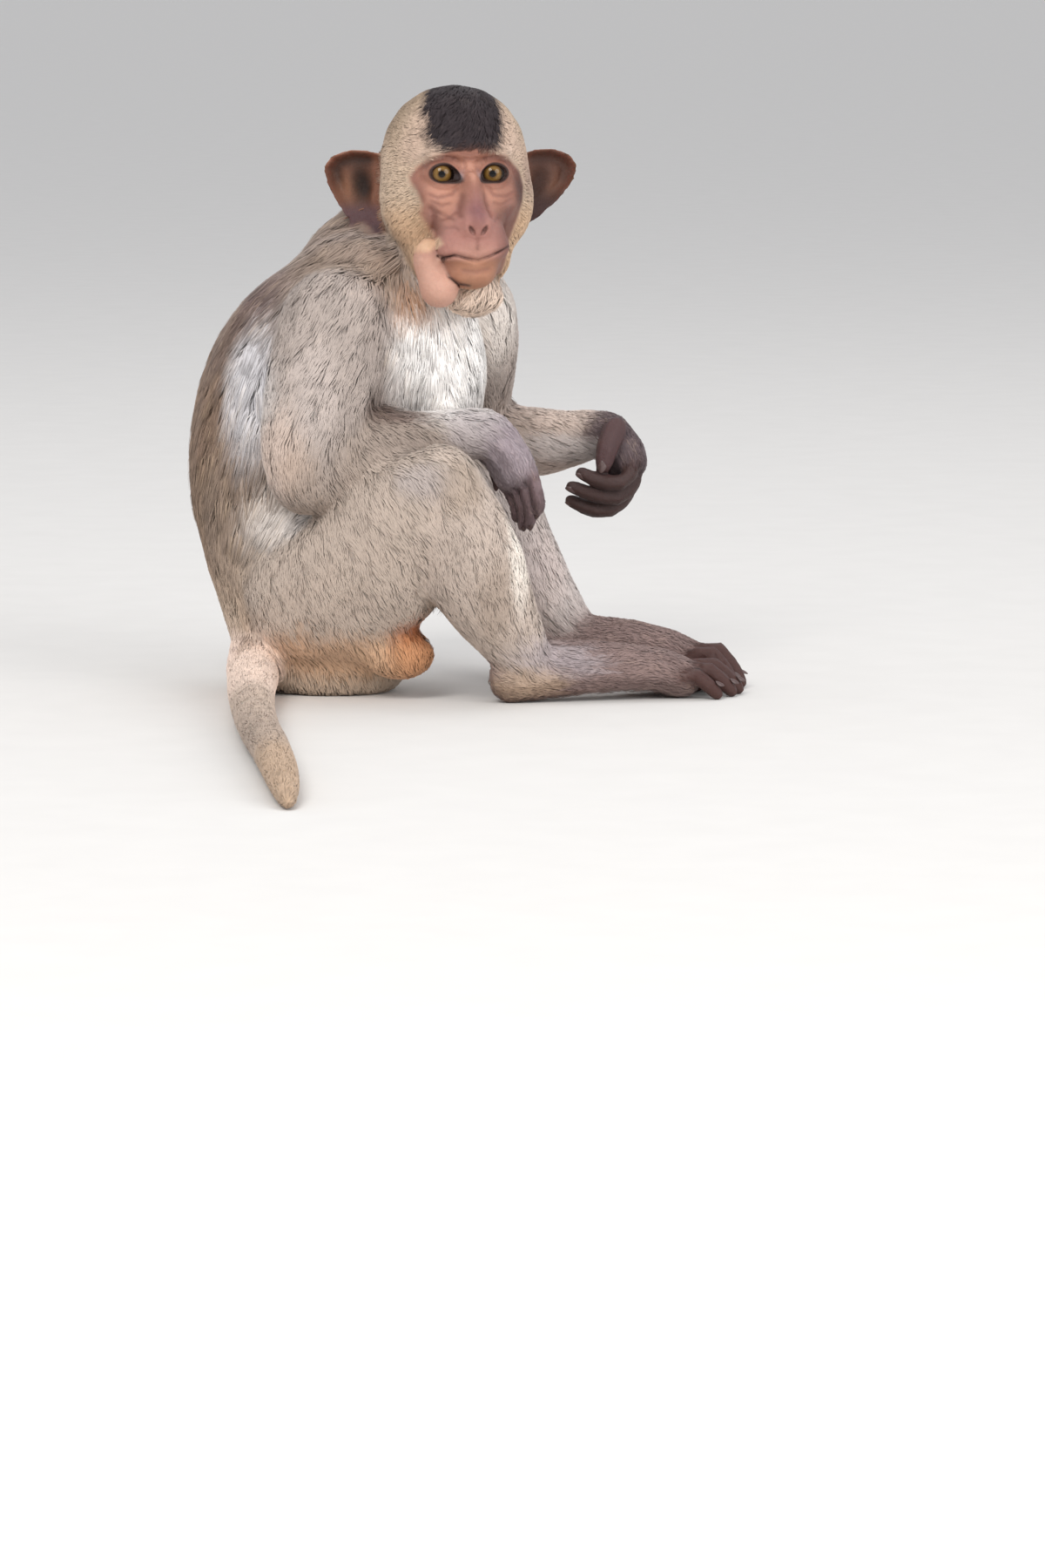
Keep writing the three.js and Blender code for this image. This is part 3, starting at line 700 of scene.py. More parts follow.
# %% Slide the face onto its shape
local = in_head(at)
HEAD_PARTS = is_one_of(part, "head", "lower_jaw", "cheek")
on_face = HEAD_PARTS * smooth(local[:, 0], 6, 16) * smooth(local[:, 2], -72, -66)
busy = np.where(on_face > 0.01)[0]
p = local[busy]
for turn in range(9):
    here = face_distance(p)
    slope = np.stack([(face_distance(p + step) - here) / 0.04 for step in np.eye(3) * 0.04], 1)
    move = -(here / ((slope ** 2).sum(1) + 0.05))[:, None] * slope
    length = np.linalg.norm(move, axis=1, keepdims=True) + 1e-9
    p = p + move * np.minimum(1, 0.9 / length) * 0.8
    if turn in (2, 5):
        mask = np.zeros(len(at)); mask[busy] = 0.35
        spread = at.copy(); spread[busy] = out_of_head(p)
        p = in_head(evened(spread, edges, 2, mask)[busy])
at[busy] = out_of_head(local[busy] + (p - local[busy]) * on_face[busy, None])
local = in_head(at)
print(len(busy), "points of the face shaped, left over", round(float(abs(face_distance(p)).mean()), 3), "mm")

# %% [markdown]
# ## Between fingers and toes
# The wrap closes narrow gaps, so fingers that touch run together. A point as near to one finger
# as to the next lies on such a join: it is pressed in, and later painted shade darkens it. Knuckles
# get short creases across in the same way, from the places of the joints.

# %% Creases of the hands and feet
digits = [n for n in flesh if n.startswith(DIGITS)]
near = np.full((len(at), len(digits)), 9.0)
for k, name in enumerate(digits):
    low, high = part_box(name)
    close = np.where(((at > np.array(low) - 3 * MM) & (at < np.array(high) + 3 * MM)).all(1))[0]
    shape = bmesh.new()
    shape.from_mesh(solids[name].data)
    finder = BVHTree.FromBMesh(shape)
    shape.free()
    near[close, k] = [finder.find_nearest(p)[3] / MM for p in at[close]]
near.sort(1)
crease = np.exp(-((near[:, 1] - near[:, 0]) / 0.75) ** 2) * smooth(-near[:, 1], -3.0, -2.0)


def outward(points):
    a, b, c = points[corners[:, 0]], points[corners[:, 1]], points[corners[:, 2]]
    n = np.cross(b - a, c - a)
    total = np.zeros_like(points)
    for k in range(3):
        for i in range(3):
            total[:, i] += np.bincount(corners[:, k], n[:, i], len(points))
    return total / (np.linalg.norm(total, axis=1, keepdims=True) + 1e-20)


at = at - outward(at) * (crease * 1.0 * MM)[:, None]
print(int((crease > 0.5).sum()), "points in creases between digits")

# %% [markdown]
# ## Under the coat
# The solids reach to the tips of the hair, so the hide lies deeper by the depth of the coat: nearly
# nothing on the fingers, a millimetre or so on the limbs and three on the neck and chest.

# %% Coat by part
# Depth, hair length and width in millimetres, tufts beside those of the trunk, unevenness of tone.
COAT = {
    "head": (1.0, 7.5, 0.34, 2.6, 0.6), "lower_jaw": (0.7, 6, 0.34, 2.0, 0.35),
    "cheek_pouch": (0.2, 4, 0.3, 0.3, 0.3),
    "ear": (0.15, 3, 0.35, 0.0, 0.3), "neck": (3.2, 20, 0.66, 1.2, 1.0), "chest": (3.4, 22, 0.68, 1.2, 0.85),
    "loin": (2.6, 19, 0.68, 1.0, 0.9), "rump": (1.6, 15, 0.62, 0.95, 0.5), "tail": (0.35, 8, 0.5, 1.3, 0.6),
    "thigh": (1.1, 12, 0.54, 1.3, 0.3), "shank": (0.9, 10, 0.5, 1.5, 0.3), "foot": (0.8, 7, 0.4, 1.6, 0.6),
    "upper_arm": (1.7, 15, 0.6, 1.2, 0.5), "forearm": (1.1, 11, 0.52, 1.45, 0.4),
    "hand": (0.6, 6, 0.36, 1.7, 0.7),
    "thumb": (0.12, 3, 0.3, 0.0, 0.5), "hallux": (0.08, 3, 0.3, 0.05, 0.5), "toe": (0.08, 3, 0.3, 0.06, 0.5),
    "index": (0.08, 3, 0.3, 0.0, 0.5), "middle": (0.08, 3, 0.3, 0.0, 0.5), "ring": (0.08, 3, 0.3, 0.0, 0.5),
    "little": (0.08, 3, 0.3, 0.0, 0.5), "index_right": (0.25, 4, 0.32, 1.3, 0.7),
    "middle_right": (0.25, 4, 0.32, 1.3, 0.7), "ring_right": (0.25, 4, 0.32, 1.3, 0.7),
    "little_right": (0.25, 4, 0.32, 1.3, 0.7)}


def kind_of(name):
    return next(k for k in sorted(COAT, key=len, reverse=True) if name.startswith(k))


coat = np.array([COAT[kind_of(n)] for n in flesh])[part]
bare = bare_face(local) * HEAD_PARTS
bare = np.maximum(bare, is_one_of(part, "cheek_pouch") * smooth(local[:, 2], -38, -42))
coat = evened(coat, edges, 14)
depth, length, width, share, mottle = (coat[:, k] for k in range(5))
round_eyes = np.minimum(*(np.linalg.norm(local - (EYE_FORWARD, k * EYE_SPREAD, 0), axis=1) for k in (-1, 1)))
depth = depth * (1 - bare) * smooth(round_eyes, 11.5, 17)
length = length * (1 - 0.75 * bare)
share = share * (1 - bare) ** 2
TAIL_TIP = np.array([-28, -452, 3.6])
to_tip = np.linalg.norm(at / MM - TAIL_TIP, axis=1)
depth = np.minimum(depth, 0.6 + to_tip * 0.06)
depth = evened(depth, edges, 8)


# %% The hide moved in
out = outward(at)
soft_out = evened(out, edges, 12)
soft_out /= np.linalg.norm(soft_out, axis=1, keepdims=True) + 1e-9
out = out + (soft_out - out) * smooth(depth, 0.4, 2)[:, None]
at = at - out * depth[:, None] * MM
furry = smooth(depth, 0.8, 2.5)
at = evened(at, edges, 2, 0.5 * furry)
at[:, 2] = at[:, 2].clip(0.0, None)
out = outward(at)
local = in_head(at)
print("hide lies", round(float(depth.min()), 2), "to", round(float(depth.max()), 2), "mm inside")

# %% [markdown]
# ## Markings and painted shade
# Skin and coat share one set of markings and painted shade, so a parting in the hair shows hide of
# the same colour. Each part has a ground colour, evened over the joins. Patches are laid over it as
# soft-edged eggs: most are the animal's own colour, and a few are painted shade in hollows and under limbs.

# %% Ground colours
GROUND = {
    "head": "cdb49c", "lower_jaw": "c39a7c", "cheek_pouch": "d0a48f", "ear": "7a503f", "neck": "938175",
    "chest": "a09189", "loin": "918479", "rump": "bba794", "tail_1": "f2d8c8", "tail_2": "d9c2b2",
    "tail_3": "b7a393", "tail_4": "a89586", "tail_5": "b49a82", "thigh": "b6a699", "shank_right": "b9a99d",
    "shank_left": "c6bab4", "foot": "86716c", "upper_arm": "a79a92", "forearm_right": "95867b",
    "forearm_left": "d2c0b5", "hand_right": "a5979c", "hand_left": "625456",
    "thumb": "4e3737", "index": "412d2a",
    "middle": "412d2a", "ring": "412d2a", "little": "412d2a",
    "index_right": "7c686a", "middle_right": "7c686a",
    "ring_right": "7c686a", "little_right": "7c686a", "hallux": "4c302b", "toe": "4a2f2a"}


def ground_of(name):
    return light(GROUND[next(k for k in sorted(GROUND, key=len, reverse=True) if name.startswith(k))])


PATCHES = [  # middle, half sizes in millimetres, colour, strength
    ((-84, 4, 132), (36, 80, 92), "80644e", 0.75),        # golden edge of the back
    ((-75, -30, 90), (20, 22, 36), "9c8b7e", 0.5),
    ((-62, -14, 205), (22, 24, 20), "705c58", 0.9),     # slate streaks on the shoulder blade
    ((-82, -8, 178), (12, 20, 18), "776660", 0.6),
    ((-64, -40, 158), (17, 26, 40), "dddbde", 0.85),     # pale flank
    ((-48, -56, 142), (12, 18, 30), "d9d2ce", 0.75),
    ((-20, -24, 222), (40, 20, 14), "97816f", 0.6),      # mantle
    ((10, -36, 212), (22, 14, 16), "9c8674", 0.6),
    ((-12, -42, 206), (16, 12, 12), "d2bcae", 0.6),
    ((-24, -50, 176), (24, 16, 16), "c2b4b0", 0.6),      # pale folds over the shoulder
    ((62, 8, 186), (34, 34, 44), "e9dfd6", 0.9),         # pale front of the shoulder
    ((40, -28, 174), (40, 36, 40), "f8f4f0", 1.0),       # bib
    ((28, -37, 200), (23, 16, 9), "b5835c", 0.9),      # tan upper edge of the bib, darkened by painted shadow under the pouch
    ((53, -44, 204), (26, 24, 14), "f2d8c4", 0.95),       # peach throat
    ((-48, -80, 126), (16, 18, 24), "d6bfb0", 0.55),      # elbow
    ((-30, -75, 160), (14, 18, 30), "bdb0a9", 0.5),
    ((-46, -45, 90), (28, 14, 14), "e6ddd6", 0.85),      # fold above the thigh
    ((9, -54, 148), (36, 12, 7), "6e5c54", 0.85),         # dark line along the forearm
    ((24, -62, 130), (34, 16, 10), "9c8d83", 0.4),
    ((54, -46, 140), (14, 16, 16), "a89e9e", 0.7),       # pale wrist
    ((92, 42, 138), (34, 20, 9), "dcc8ba", 0.6),
    ((96, 34, 122), (34, 18, 9), "e2dad6", 0.7),
    ((30, -92, 116), (18, 14, 10), "aa9f9b", 0.7),       # knee
    ((48, -92, 112), (12, 16, 16), "93806e", 0.5),
    ((-36, -84, 118), (12, 15, 17), "9c8470", 0.35),
    # painted shade on the shin's side, by the gap under the knee
    ((64, -86, 52), (10, 12, 30), "8c7867", 0.4),
    ((77, -84, 84), (6, 12, 36), "eee4d8", 0.85),        # pale line down the shin
    ((22, -54, 26), (17, 17, 17), "a65a2a", 0.95),        # rust patch beneath
    ((-10, -54, 20), (58, 26, 15), "cc9f78", 0.6),
    # painted shade in the hollow under the knee
    ((40, -60, 52), (14, 14, 22), "8c7662", 0.7),
    ((76, -66, 3), (40, 20, 9), "74594a", 0.6),          # painted shade along the heel's underside, by the floor
    ((92, 14, 70), (12, 14, 40), "e2d0c8", 0.6),         # far shin
    ((84, 26, 50), (10, 16, 26), "b0a5a4", 0.5),
    ((-57, -90, 18), (18, 70, 20), "ecd2c0", 0.7),       # bare-looking root of the tail
    ((-68, -46, 36), (9, 16, 14), "86694f", 0.6),
    ((100, -72, 24), (30, 16, 12), "a79c9e", 0.7),       # hair on the top of the foot
    ((82, -74, 10), (24, 14, 9), "b9a088", 0.6)]


def egg_share(points, middle, half):
    """1 well inside a soft egg, 0 outside it."""
    far = np.sqrt((((points - np.array(middle)) / np.array(half)) ** 2).sum(1))
    return smooth(-far, -1.25, -0.55)


def lay(colours, share, code):
    return colours + (light(code) - colours) * np.asarray(share)[:, None]


# %% [markdown]
# The cap of dark hair, the pale temples and the mauve muzzle are placed in the head's frame. The
# lids are the darkest part of the bare face. Painted shade darkens the edges of the face, the animal's
# left side, the sides of the muzzle and chin, the grooves by the cheeks, every fold, the mouth, the
# chin's crease and the nostrils, and a pale painted sheen lies by the inner corner of each eye.

# %% Head colours
CAP = [(-23.8, 39.4), (-24.9, 33.8), (-23.2, 27), (-22.4, 22), (-25.5, 20.2), (-23.4, 15.6), (-18, 12.2),
       (-11.8, 10), (-2.7, 8.6), (4.1, 8.4), (12, 9.2), (17, 11.5), (19, 20.3), (18.6, 29.3), (16.8, 36),
       (14, 46), (4, 62), (-12, 62), (-21, 48)]


def cap_share(local):
    x, y, z = local.T
    return smooth(inside_edge(CAP, y - 0.17 * (38 - x), z), -0.9, 1.2) * smooth(x, -30, -14)


def head_colours(colours, local, bare):
    x, y, z = local.T
    temples = smooth(z, 0, 12) * smooth(x, 5, 22)
    colours = lay(colours, 0.7 * temples, "c6ab9a")
    # painted shade on the animal's left side of the head, away from the key lamp
    colours = lay(colours, 0.6 * smooth(y, 30, 35) * np.exp(-(z / 14) ** 2), "96766c")
    colours = lay(colours, 0.6 * smooth(-z, 10, 26) * smooth(x, -10, 8), "e2b992")
    colours = lay(colours, 0.5 * smooth(-z, 14, 30) * smooth(-x, -14, 8), "ad9a84")
    colours = lay(colours, 0.75 * smooth(-x, -20, 6) * smooth(z, 8, 26), "85705a")
    colours = lay(colours, 0.75 * smooth(-x, 2, 30), "8c7a68")
    colours = lay(colours, 0.8 * smooth(-z, 54, 60) * smooth(x, 0, 14), "dcb698")
    colours = lay(colours, cap_share(local), "322a2c")
    colours = lay(colours, 0.7 * cap_share(local) * smooth(-z, -15, -9), "1c1313")
    face = np.broadcast_to(light("b98570"), colours.shape).copy()
    face = lay(face, 0.55 * np.exp(-((abs(y) - 13) / 8) ** 2 - ((z + 13) / 6) ** 2), "c9907a")
    face = lay(face, 0.75 * smooth(z, 4, 8), "80503f")
    # dark skin over the eyes, deepened by painted shade under the brow
    face = lay(face, 0.8 * np.exp(-((abs(y - .5) - 16) / 8) ** 2 - ((z - 6.8) / 2.0) ** 2), "4a2a1e")
    # painted shade at both edges of the bare face, where it turns away
    side = np.minimum(np.hypot(y + 28, (z + 6) / 1.5), np.hypot(y - 29, (z + 6) / 2))
    face = lay(face, 0.6 * smooth(-side, -8, -2), "7a4a40")
    # painted shade over the animal's left cheek and the left half of the face, away from the key lamp
    face = lay(face, 0.65 * smooth(y, 22, 28) * smooth(z, -24, -12), "583329")
    face = lay(face, 0.45 * smooth(y, 5, 20), "6a4338")
    face = lay(face, 0.35 * smooth(abs(y) + 0.6 * z, 14, 26) * smooth(-z, 4, 12), "6f4a40")
    # painted shade in the grooves between the cheeks and the fur, deepest on the animal's left
    face = lay(face, 0.6 * np.exp(-((y + 25) / 3.5) ** 2 - ((z + 13) / 5) ** 2), "6a4236")
    face = lay(face, 0.65 * np.exp(-((y - 29) / 4.5) ** 2 - ((z + 9) / 10) ** 2), "3c221a")
    face = lay(face, 0.7 * np.exp(-((y - .8) / 5) ** 2) * smooth(-z, 2, 10) * smooth(z, -26, -18), "845650")
    # painted shade between the muzzle and the cheeks
    face = lay(face, 0.55 * np.exp(-((abs(y - 1) - 20) / 4) ** 2 - ((z + 22) / 8) ** 2), "94706c")
    muzzle = smooth(-z, 6, 20) * smooth(-abs(y - 1) + (-z - 8) * 0.85, -7, 6) * smooth(x, 28, 40)
    face = lay(face, 0.6 * muzzle, "9c6c68")
    face = lay(face, 0.7 * np.exp(-((y - .6) / 5) ** 2 - ((z + 21) / 6.5) ** 2), "74494c")
    face = lay(face, 0.55 * smooth(-z, 34, 41) * np.exp(-(y / 12) ** 2), "c49482")
    face = lay(face, 0.85 * smooth(-z, 42.5, 46.5) * smooth(x, 18, 30), "b07c60")
    # painted shade at the sides and underside of the chin
    face = lay(face, 0.45 * smooth(abs(y - 1), 8, 15) * smooth(-z, 42, 47), "94695a")
    face = lay(face, 0.5 * smooth(-z, 52, 58) * smooth(x, 18, 30), "94684e")
    # painted shade on the animal's left side of the muzzle
    face = lay(face, 0.5 * smooth(y, 7, 17) * smooth(-z, 14, 22), "5f4038")
    # painted shade in every fold, darker where the fold is cut deeper
    for line, cut, wide in FOLDS:
        gap, share = along(y, z, line)
        face = lay(face, 0.75 * cut ** 0.5 * np.exp(-(gap / wide / 1.1) ** 2) * smooth(share, 0, 0.2)
                   * smooth(1 - share, 0, 0.2) * (x > 20), "7a4f45")
    pouch = smooth(-pouch_distance(local), -3.5, 0.5) * smooth(-z, 38, 44)
    face = lay(face, 0.95 * pouch, "cfa08d")
    for s in (-1, 1):
        ey, ez = (y - s * EYE_SPREAD) * s, z
        drop = ez + 2.6 * (ey.clip(None, 0) / 8.0) ** 2
        ring = np.sqrt((ey / np.where(ey < 0, 7.8, 6.7)) ** 2 + (drop / 4.75) ** 2)
        face = lay(face, 0.55 * smooth(-ring, -2.0, -1.25), "8a5848")
        # painted shade in the crease above each upper lid
        lid_fold_shade = np.exp(-((np.hypot(ey * .92, ez) - 8.2) / 0.8) ** 2)
        face = lay(face, 0.5 * lid_fold_shade * smooth(ez, 0, 4), "5d3a30")
        face = lay(face, 0.95 * smooth(-ring, -1.24, -1.06), "241512")
        # a pale painted sheen on the lid by the inner corner of the eye
        inner_sheen = np.exp(-((ey + 8.8) / 1.1) ** 2 - ((ez + 0.8) / 2.4) ** 2)
        face = lay(face, 0.45 * inner_sheen, "9a8d92")
    # painted shade along the mouth and in the crease round the chin
    gap, _ = along(y, z, MOUTH)
    face = lay(face, 0.85 * np.exp(-(gap / 0.6) ** 2) * (x > 25), "3a2320")
    gap, _ = along(y, z, CHIN_FOLD)
    face = lay(face, 0.8 * np.exp(-(gap / 0.6) ** 2) * (x > 25), "40302c")
    # painted shade inside the nostril pits
    sy, sz = abs(y - .6) - 3.2, z + 29.8
    slit = np.exp(-(((sy * .86 - sz * .51) / 1.0) ** 2 + ((sy * .51 + sz * .86) / 2.3) ** 2) ** 1.5)
    face = lay(face, 0.97 * slit * (x > 45), "1c0f10")
    return colours + (face - colours) * bare[:, None]


def ear_colours(colours, local, share):
    u, v, flare, rim = ear_place(local)
    ear = np.broadcast_to(light("6c4635"), colours.shape).copy()
    # painted shade in the groove inside the rim
    ear = lay(ear, 0.8 * np.exp(-((rim - 6) / 3.2) ** 2) * smooth(v, -8, 4), "2c1a14")
    ear = lay(ear, 0.7 * np.exp(-((u - 22) / 5) ** 2 - ((v + 3) / 7) ** 2), "96694f")
    # painted shade in the deep hollow by the head
    hollow = np.hypot((u - 15.3) / 4.6, (v + 1.5 - 0.3 * (u - 15)) / 8.5)
    ear = lay(ear, 0.97 * smooth(1.9 - hollow, 0, 1.6), "23120a")
    ear = lay(ear, 0.7 * smooth(-u, -11, -6), "8a5a44")
    ear = lay(ear, 0.8 * smooth(-rim, -3.0, -1.0) * smooth(v, 4, 12), "a97a66")
    ear = lay(ear, 0.8 * smooth(-v, 9, 17), "594248")
    ear = lay(ear, 0.5 * smooth(-v, 20, 26), "3c2c34")
    # painted shade over the animal's left ear, darkest low down
    ear = lay(ear, 0.6 * (local[:, 1] > 0), "4c2d22")
    ear = lay(ear, 0.6 * smooth(-v, 2, 12) * (local[:, 1] > 0), "2e1a14")
    return colours + (ear - colours) * share[:, None]


def markings(points, local, ground, bare, ears, headed):
    """The colour of skin and coat at any place, with its painted shade."""
    colours = ground.copy()
    for middle, half, code, strength in PATCHES:
        colours = lay(colours, strength * egg_share(points / MM, middle, half) * (1 - bare), code)
    colours = colours + (head_colours(colours, local, bare) - colours) * headed[:, None]
    return ear_colours(colours, local, ears)


ground = evened(np.array([ground_of(n) for n in flesh])[part], edges, 16)
ears = evened(is_one_of(part, "ear").astype(float), edges, 2) * smooth(ear_place(local)[0], 0, 5)
on_head = evened(is_one_of(part, "head", "lower_jaw", "cheek").astype(float), edges, 4)
colours = markings(at, local, ground, bare * smooth(on_head, 0.2, 0.8), ears, smooth(on_head, 0.1, 0.7))
plain = np.zeros(len(at))
hair_colours = markings(at, local, ground, plain, plain, smooth(on_head, 0.1, 0.7))
hair_colours = hair_colours + 0.25 * (colours - hair_colours) * (1 - ears)[:, None]
# painted shade in the joins between fingers and toes
colours = lay(colours, 0.7 * crease, "2a1c1c")
print("skin colours from", colours.min(0).round(3), "to", colours.max(0).round(3))

# %% Write the skin
skin_mesh.vertices.foreach_set("co", at.ravel())
skin_mesh.attributes.new("markings", "FLOAT_COLOR", "POINT").data.foreach_set(
    "color", np.c_[colours, np.ones(len(at))].ravel())
skin_mesh.attributes.new("furry", "FLOAT", "POINT").data.foreach_set("value", furry)
skin_mesh.update()
skin = bpy.data.objects.new("skin", skin_mesh)
bpy.context.scene.collection.objects.link(skin)
for face in skin_mesh.polygons:
    face.use_smooth = True
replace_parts(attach(skin, "root"), *flesh)

# %% [markdown]
# Bare skin is never one colour. Fine noise breaks it up, a network of cells makes the pores and
# creases as bump, and it is a little glossier than the hide that lies under the hair.

# %% Skin finish
hide = Finish("bare_skin", Specular_IOR_Level=0.35, Subsurface_Weight=0.06, Subsurface_Scale=0.004)
spot = hide.node("ShaderNodeTexCoord").out("Object")
mark = hide.node("ShaderNodeAttribute", {"attribute_name": "markings"})
blotch = hide.node("ShaderNodeTexNoise", None, {"Vector": spot, "Scale": 160.0, "Detail": 4.0})
grime = hide.node("ShaderNodeTexNoise", None, {"Vector": spot, "Scale": 700.0, "Detail": 3.0})
tone = 0.78 + 0.3 * blotch + 0.14 * grime
shade = hide.node("ShaderNodeCombineColor", None, {0: tone, 1: tone, 2: tone})
pores = hide.node("ShaderNodeTexVoronoi", {"feature": "DISTANCE_TO_EDGE"}, {"Vector": spot, "Scale": 1300.0})
fine_lines = hide.node("ShaderNodeTexNoise", None, {
    "Vector": spot, "Scale": 420.0, "Detail": 5.0, "Roughness": 0.65})
bump = hide.node("ShaderNodeBump", None, {
    "Strength": 0.6, "Distance": 0.0008, "Height": pores.step(0, 0.3) * 0.18 + fine_lines})
skin_mesh.materials.append(hide.paint(
    Base_Color=hide.mix(blotch.step(0.45, 0.75) * 0.3, hide.mix(1.0, mark, shade, "MULTIPLY"),
                        hide.mix(1.0, mark, (0.62, 0.5, 0.47, 1), "MULTIPLY")),
    Roughness=0.42 + 0.25 * blotch, Normal=bump))

# %% [markdown]
# ## Eyes
# Each eye is a ball with a bulge for the cornea. The iris is painted by the distance from the line
# of sight: a dark rim, a golden ring with fine spokes, and the pupil. A clear coat gives the wet shine.

# %% Eyeballs
GAZE = Vector((0.05, -1, 0.03)).normalized()
for side in ("right", "left"):
    middle = Vector(eye_at[side]) * MM
    bm = bmesh.new()
    bmesh.ops.create_uvsphere(bm, u_segments=64, v_segments=48, radius=EYE_RADIUS * MM)
    for v in bm.verts:
        v.co.z += 0.7 * MM * max(0.0, 1 - (math.hypot(v.co.x, v.co.y) / (5.6 * MM)) ** 2) * (v.co.z > 0)
    bm.transform(Matrix.Translation(middle) @ GAZE.to_track_quat("Z", "Y").to_matrix().to_4x4())
    eye = bpy.data.objects.new(f"eyeball_{side}", bpy.data.meshes.new(f"eyeball_{side}"))
    bm.to_mesh(eye.data)
    bm.free()
    for face in eye.data.polygons:
        face.use_smooth = True
    bpy.context.scene.collection.objects.link(eye)
    glass = Finish(f"eye_{side}", Roughness=0.6, Specular_IOR_Level=0.0, Coat_Weight=1.0,
                   Coat_Roughness=0.02, Coat_IOR=1.38)
    turn = GAZE.to_track_quat("Z", "Y").to_matrix().to_euler()
    aimed = glass.node("ShaderNodeMapping", {"vector_type": "TEXTURE"}, {
        "Vector": glass.node("ShaderNodeTexCoord").out("Object"), "Location": middle, "Rotation": turn})
    parts3 = glass.node("ShaderNodeSeparateXYZ", None, {0: aimed})
    reach = (parts3 ** 2 + parts3.out("Y") ** 2) ** 0.5 * 1000.0
    spokes = glass.node("ShaderNodeTexNoise", None, {"Vector": aimed, "Scale": 900.0, "Detail": 3.0})
    iris = glass.node("ShaderNodeValToRGB", {"stops": [
        (0.0, light("060403")), (0.27, light("060403")), (0.32, light("4e3416")), (0.5, light("7f6030")),
        (0.72, light("6a4c24")), (0.86, light("2e1e0e")), (0.94, light("120b08"))]},
        {0: reach / 5.6 + (spokes - 0.5) * 0.09})
    white = glass.mix(reach.step(5.4, 5.9), iris, (*light("1c120e"), 1))
    eye.data.materials.append(glass.paint(Base_Color=white))
    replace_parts(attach(eye, "root"), f"eye_{side}")
print("eyes at", {k: v.round(1).tolist() for k, v in eye_at.items()})

# %% [markdown]
# ## Nails
# A macaque has narrow, domed nails, not claws. Each starts as a small ball that is squashed to a
# plate, bent down at the sides and drawn to a blunt tip, and is set on the back of its fingertip.

# %% Nails
NAILS = {  # tip of the digit, way it points, way its back faces, half width; millimetres
    "thumb_right": ((66, -21.4, 107), (0.1, 0, -1), (-0.5, -0.8, 0), 2.2),
    "index_right": ((74.3, -24.8, 91), (-0.2, 0.5, -0.85), (0.6, -0.75, -0.2), 1.7),
    "middle_right": ((77.4, -28.6, 87), (-0.25, 0.5, -0.85), (0.65, -0.7, -0.2), 1.8),
    "ring_right": ((80.8, -32.6, 88), (-0.3, 0.55, -0.8), (0.65, -0.7, -0.2), 1.8),
    "little_right": ((84, -36.6, 94.2), (-0.4, 0.6, -0.7), (0.65, -0.7, -0.2), 1.6),
    "thumb_left": ((120.8, 8.6, 113.8), (-0.1, -0.1, -1), (-0.35, -0.93, 0.05), 2.6),
    "index_left": ((108, 11.4, 112.8), (-0.85, 0.2, 0.45), (-0.35, -0.75, -0.5), 2.0),
    "middle_left": ((102.8, 16, 105.4), (-0.85, 0.2, 0.4), (-0.35, -0.7, -0.6), 2.1),
    "ring_left": ((102.6, 23, 97.4), (-0.85, 0.2, 0.4), (-0.35, -0.6, -0.7), 2.0),
    "little_left": ((104.6, 30.4, 95.4), (-0.85, 0.2, 0.4), (-0.35, -0.5, -0.8), 1.8)}
for side, shift in (("right", 1), ("left", -1)):
    for name in [n for n in flesh if n.startswith(("toe", "hallux")) and n.endswith(side)]:
        low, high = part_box(name)
        tip = (high.x / MM - 1.6, ((low + high) / 2).y / MM + (1.5 if side == "right" else -1.0), 5.2)
        lead = (0.9, 0.25 * shift, -0.45)
        back = (0.5, -0.25 if side == "right" else -0.1, 0.85)
        NAILS[name] = (tip, lead, back, 2.2 if "hallux" in name else 1.9)

bm = bmesh.new()
for name, (tip, lead, back, broad) in NAILS.items():
    lead, back = Vector(lead).normalized(), Vector(back)
    back = (back - back.dot(lead) * lead).normalized()
    plate = bmesh.ops.create_uvsphere(bm, u_segments=14, v_segments=10, radius=1)["verts"]
    for v in plate:
        along_nail, over, thick = v.co.x, v.co.y, v.co.z
        taper = 1 - 0.3 * max(0.0, along_nail) ** 1.5
        v.co = Vector((along_nail * broad * 1.45, over * broad * taper,
                       thick * 0.55 - 0.45 * broad * (over * taper) ** 2 - 0.25 * max(0.0, along_nail) ** 2))
    turn = Matrix((lead, back.cross(lead), back)).transposed().to_4x4()
    set_at = (Vector(tip) + back * 3.4 * broad / 2.2 - lead * 2.0) * MM
    bmesh.ops.transform(bm, matrix=Matrix.Translation(set_at) @ turn @ Matrix.Scale(MM, 4), verts=plate)
bmesh.ops.recalc_face_normals(bm, faces=bm.faces)
nails = bpy.data.objects.new("nails", bpy.data.meshes.new("nails"))
bm.to_mesh(nails.data)
bm.free()
for face in nails.data.polygons:
    face.use_smooth = True
bpy.context.scene.collection.objects.link(nails)
horn = Finish("nail_horn", Roughness=0.35, Specular_IOR_Level=0.5)
streak = horn.node("ShaderNodeTexNoise", None, {"Vector": horn.node("ShaderNodeTexCoord").out("Object"),
                                                "Scale": 900.0, "Detail": 3.0})
nails.data.materials.append(horn.paint(
    Base_Color=horn.mix(streak, (*light("3c2f2f"), 1), (*light("6a5450"), 1)), Roughness=0.25 + 0.3 * streak))
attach(nails, "root")
print(len(NAILS), "nails")

# %% [markdown]
# ## The lie of the coat
# Hair grows from head to tail and down each limb, and it bends round elbows and knees. Short
# strokes say which way it lies at a few places on each part. Every point takes the nearest strokes
# of its own part, and evening the result over the net joins the parts like a comb drawn through.

